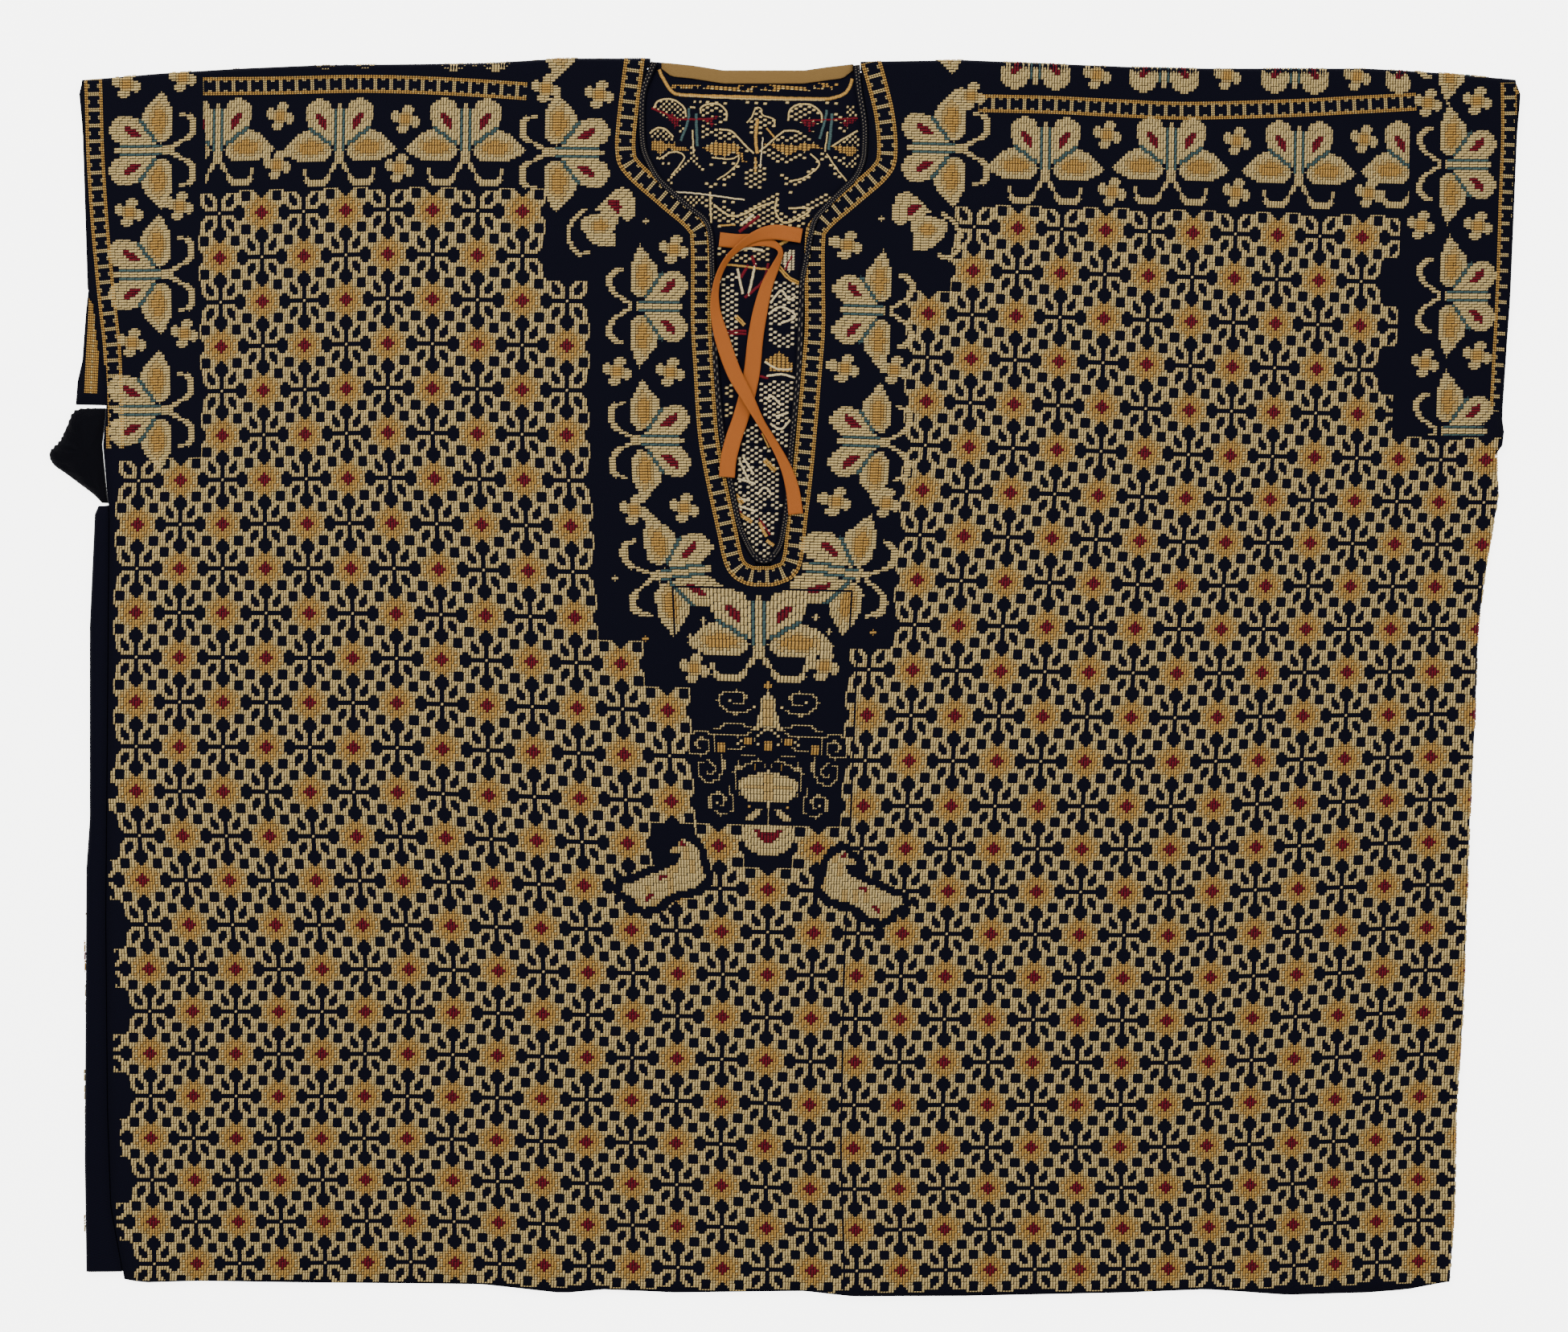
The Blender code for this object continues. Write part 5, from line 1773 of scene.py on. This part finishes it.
class OBJECT_OT_tunic_bands(bpy.types.Operator):
    """Embroiders the narrow bands round the neck, at the sleeve ends and on the shoulders"""

    bl_idname = "object.tunic_bands"
    bl_label = "Bands"

    def execute(self, context):
        routes = {
            "neck_band": NECK_BAND,
            "left_sleeve_band": [(-411.5, 354), (-411, 330), (-410.2, 306), (-407.6, 266), (-404, 227),
                                 (-400.8, 198), (-399.6, 177), (-398.8, 153), (-398.6, 133)],
            "right_sleeve_band": [(value(FRONT_RIGHT, y) - inset, y) for y, inset in (
                (352, 4.6), (320, 4.2), (280, 4), (240, 3.6), (200, 3), (155, 2.4))],
            "left_shoulder_band": [(-346, 350), (-300, 350.5), (-250, 351.5), (-200, 350), (-152, 347)],
            "right_shoulder_band": [(116, 340), (160, 339), (200, 337), (240, 335.5), (300, 337),
                                    (340, 339), (378, 341)],
        }
        for name, route in routes.items():
            row = NECK_BAND_ROW if name == "neck_band" else BAND_ROW
            place, stations = path_place(route, BAND_PITCH, row)
            chart = Chart(0, 0, stations - 1, BAND_ROWS)
            chart.cells[:] = band_chart(stations - 1)
            x, y, _ = np.moveaxis(place(*chart.grid(), 0 * chart.cells), -1, 0)
            chart.cells[(x > value(FRONT_RIGHT, y) - 1.4) | (x < value(FRONT_LEFT, y) + 1)] = 0
            sew(name, chart, place, 1)
        return {"FINISHED"}


class OBJECT_OT_tunic_lining(bpy.types.Operator):
    """Embroiders what shows inside the neck, at the back's sleeve end and along the edging"""

    bl_idname = "object.tunic_lining"
    bl_label = "Inside and edging stitches"

    def execute(self, context):
        left, high = stitch_at(-92, 362)
        right, low = stitch_at(50, 62)
        chart = Chart(left, low, right, high)
        draw_lining(chart)
        sew("lining_dots", chart, place_inside_back, 1, (0.05, 0.32))
        laid_threads("lining_floats")
        strip = Chart(-3, -64, 14, 172)
        for row in range(-2, 6):
            part = quarter(STAR_QUARTER if row % 2 == 0 else FLOWER_QUARTER)
            strip.draw(0, 32 * (row // 2) + 16 * (row % 2), part, keep=True)
        u, v = strip.grid()

        def on_strip(u, v, lift):
            up = STRIP_PITCH[1] * v
            x = STRIP_STAR[0] + STRIP_PITCH[0] * u - STRIP_LEAN * up
            return np.stack([x, STRIP_STAR[1] + up, WALL + lift], -1)

        x, y, _ = np.moveaxis(on_strip(u, v, 0 * u), -1, 0)
        reach = value(STRIP_REACH, y)
        low, high = STRIP_ENDS
        strip.cells[(x > reach) | (x < value(STRIP_REACH, y, 2)) | (y > high) | (y < low)] = 0
        sew("back_side_strip", strip, on_strip, 3, (0.05, 0.3))
        dots = Chart(0, 0, EDGING_DOTS, EDGING_ROWS)
        dots.cells[1, ::2] = dots.cells[3, 1::2] = BROWN
        sew("edging_dots", dots, edging_place(EDGING_DOTS), 1, (0.0, 0.28))
        place, stations = path_place(BACK_BAND, BAND_PITCH, BACK_BAND_ROW)
        band = Chart(0, 0, stations - 1, BAND_ROWS)
        band.cells[1:8] = GOLD
        band.cells[4, ::2] = CREAM

        def behind(u, v, lift):
            x, y, _ = np.moveaxis(place(u, v, lift), -1, 0)
            return np.stack([x, y, WALL + lift], -1)

        u, v = band.grid()
        x, y, _ = np.moveaxis(place(u, v, 0 * u), -1, 0)
        band.cells[x > value(FRONT_LEFT, y) - 1.6] = 0
        sew("back_sleeve_band", band, behind, 1, (0.05, 0.4))
        return {"FINISHED"}


class OBJECT_OT_tunic_underside(bpy.types.Operator):
    """Embroiders the back's outer face with the same ground, flat against the table"""

    bl_idname = "object.tunic_underside"
    bl_label = "Back ground"

    def execute(self, context):
        across, up = stitch_pitch()

        def straight(u, v):
            return STAR_ACROSS + u * across, STAR_UP + v * up

        left, right = (round((x - STAR_ACROSS) / across) for x in UNDER_ACROSS)
        low, high = (round((y - STAR_UP) / up) for y in UNDER_UP)
        third = (right - left) // 3
        ends = {"back_ground_left": (left, left + third),
                "back_ground_middle": (left + third, left + 2 * third),
                "back_ground_right": (left + 2 * third, right)}
        for name, (start, end) in ends.items():
            chart = Chart(start, low, end, high)
            draw_ground(chart, {(i, j) for i in range(*UNDER_REPEATS) for j in range(*UNDER_ROWS)})
            u, v = chart.grid()
            x, y = straight(u, v)
            left_bare, right_bare, hem_bare = UNDER_BARE
            off = (x < value(FRONT_LEFT, y) + left_bare) | (x > value(FRONT_RIGHT, y) - right_bare)
            off |= (y < value(HEM, x) + hem_bare) | (y > UNDER_TOP)
            chart.cells[off] = 0

            def beneath(u, v, lift):
                x, y = straight(u, v)
                return np.stack([x, y, BACK_LIFT - lift], -1)

            sew(name, chart, beneath, 3, (0.02, 0.26), under=True)
        return {"FINISHED"}


class OBJECT_OT_tunic_stage(bpy.types.Operator):
    """Sets the pale floor, the soft light and the camera"""

    bl_idname = "object.tunic_stage"
    bl_label = "Stage"

    def execute(self, context):
        scene = context.scene
        bpy.ops.object.select_all(action="DESELECT")
        bpy.ops.mesh.primitive_plane_add(size=FLOOR_SIZE, location=(0, 0, -FLOOR_CLEAR))
        floor = context.active_object
        floor.name = "floor"
        paper = bpy.data.materials.new("paper")
        _, shader = node_tree(paper)
        shader.inputs["Base Color"].default_value = (0.88, 0.88, 0.865, 1)
        shader.inputs["Roughness"].default_value = 0.95
        shader.inputs["Emission Color"].default_value = (1, 1, 0.985, 1)
        shader.inputs["Emission Strength"].default_value = 4.6
        floor.data.materials.append(paper)
        world = bpy.data.worlds.new("studio")
        world.use_nodes = True
        world.node_tree.nodes["Background"].inputs[0].default_value = (1, 1, 1, 1)
        world.node_tree.nodes["Background"].inputs[1].default_value = 0.86
        scene.world = world
        for name, place, energy, size in LIGHTS:
            data = bpy.data.lights.new(name, "AREA")
            data.energy, data.size = energy, size
            light = bpy.data.objects.new(name, data)
            light.location = place
            light.rotation_euler = (-Vector(place)).to_track_quat("-Z", "Y").to_euler()
            scene.collection.objects.link(light)
        data = bpy.data.cameras.new("camera")
        data.lens, data.sensor_width = LENS, SENSOR
        camera = bpy.data.objects.new("camera", data)
        camera.location = (SHIFT[0] * MM, SHIFT[1] * MM + VIEW_UP, VIEW_WIDTH * LENS / SENSOR)
        scene.collection.objects.link(camera)
        scene.camera = camera
        return {"FINISHED"}


class VIEW3D_PT_tunic(bpy.types.Panel):
    """Lists the tunic's pieces"""

    bl_label = "Tunic"
    bl_idname = "VIEW3D_PT_tunic"
    bl_space_type = "VIEW_3D"
    bl_region_type = "UI"
    bl_category = "Tunic"

    def draw(self, context):
        for group in ("tunic_stitches", "tunic_threads", "tunic_cloth"):
            settings = getattr(context.scene, group)
            box = self.layout.box()
            for key in settings.bl_rna.properties.keys():
                if key not in ("name", "rna_type"):
                    box.prop(settings, key)
        for operator in OPERATORS:
            self.layout.operator(operator.bl_idname)


OPERATORS = (
    OBJECT_OT_tunic_front,
    OBJECT_OT_tunic_back,
    OBJECT_OT_tunic_gusset,
    OBJECT_OT_tunic_edging,
    OBJECT_OT_tunic_ties,
    OBJECT_OT_tunic_ground,
    OBJECT_OT_tunic_borders,
    OBJECT_OT_tunic_ornament,
    OBJECT_OT_tunic_bands,
    OBJECT_OT_tunic_lining,
    OBJECT_OT_tunic_underside,
    OBJECT_OT_tunic_stage,
)
GROUPS = {"tunic_stitches": TunicStitches, "tunic_threads": TunicThreads, "tunic_cloth": TunicCloth}


def register():
    for cls in (*GROUPS.values(), *OPERATORS, VIEW3D_PT_tunic):
        bpy.utils.register_class(cls)
    for name, cls in GROUPS.items():
        setattr(bpy.types.Scene, name, bpy.props.PointerProperty(type=cls))


def unregister():
    for name in GROUPS:
        delattr(bpy.types.Scene, name)
    for cls in reversed((*GROUPS.values(), *OPERATORS, VIEW3D_PT_tunic)):
        bpy.utils.unregister_class(cls)


def main():
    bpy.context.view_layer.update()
    register()
    for operator in OPERATORS:
        getattr(bpy.ops.object, operator.bl_idname.split(".")[1])()


if __name__ == "__main__":
    main()
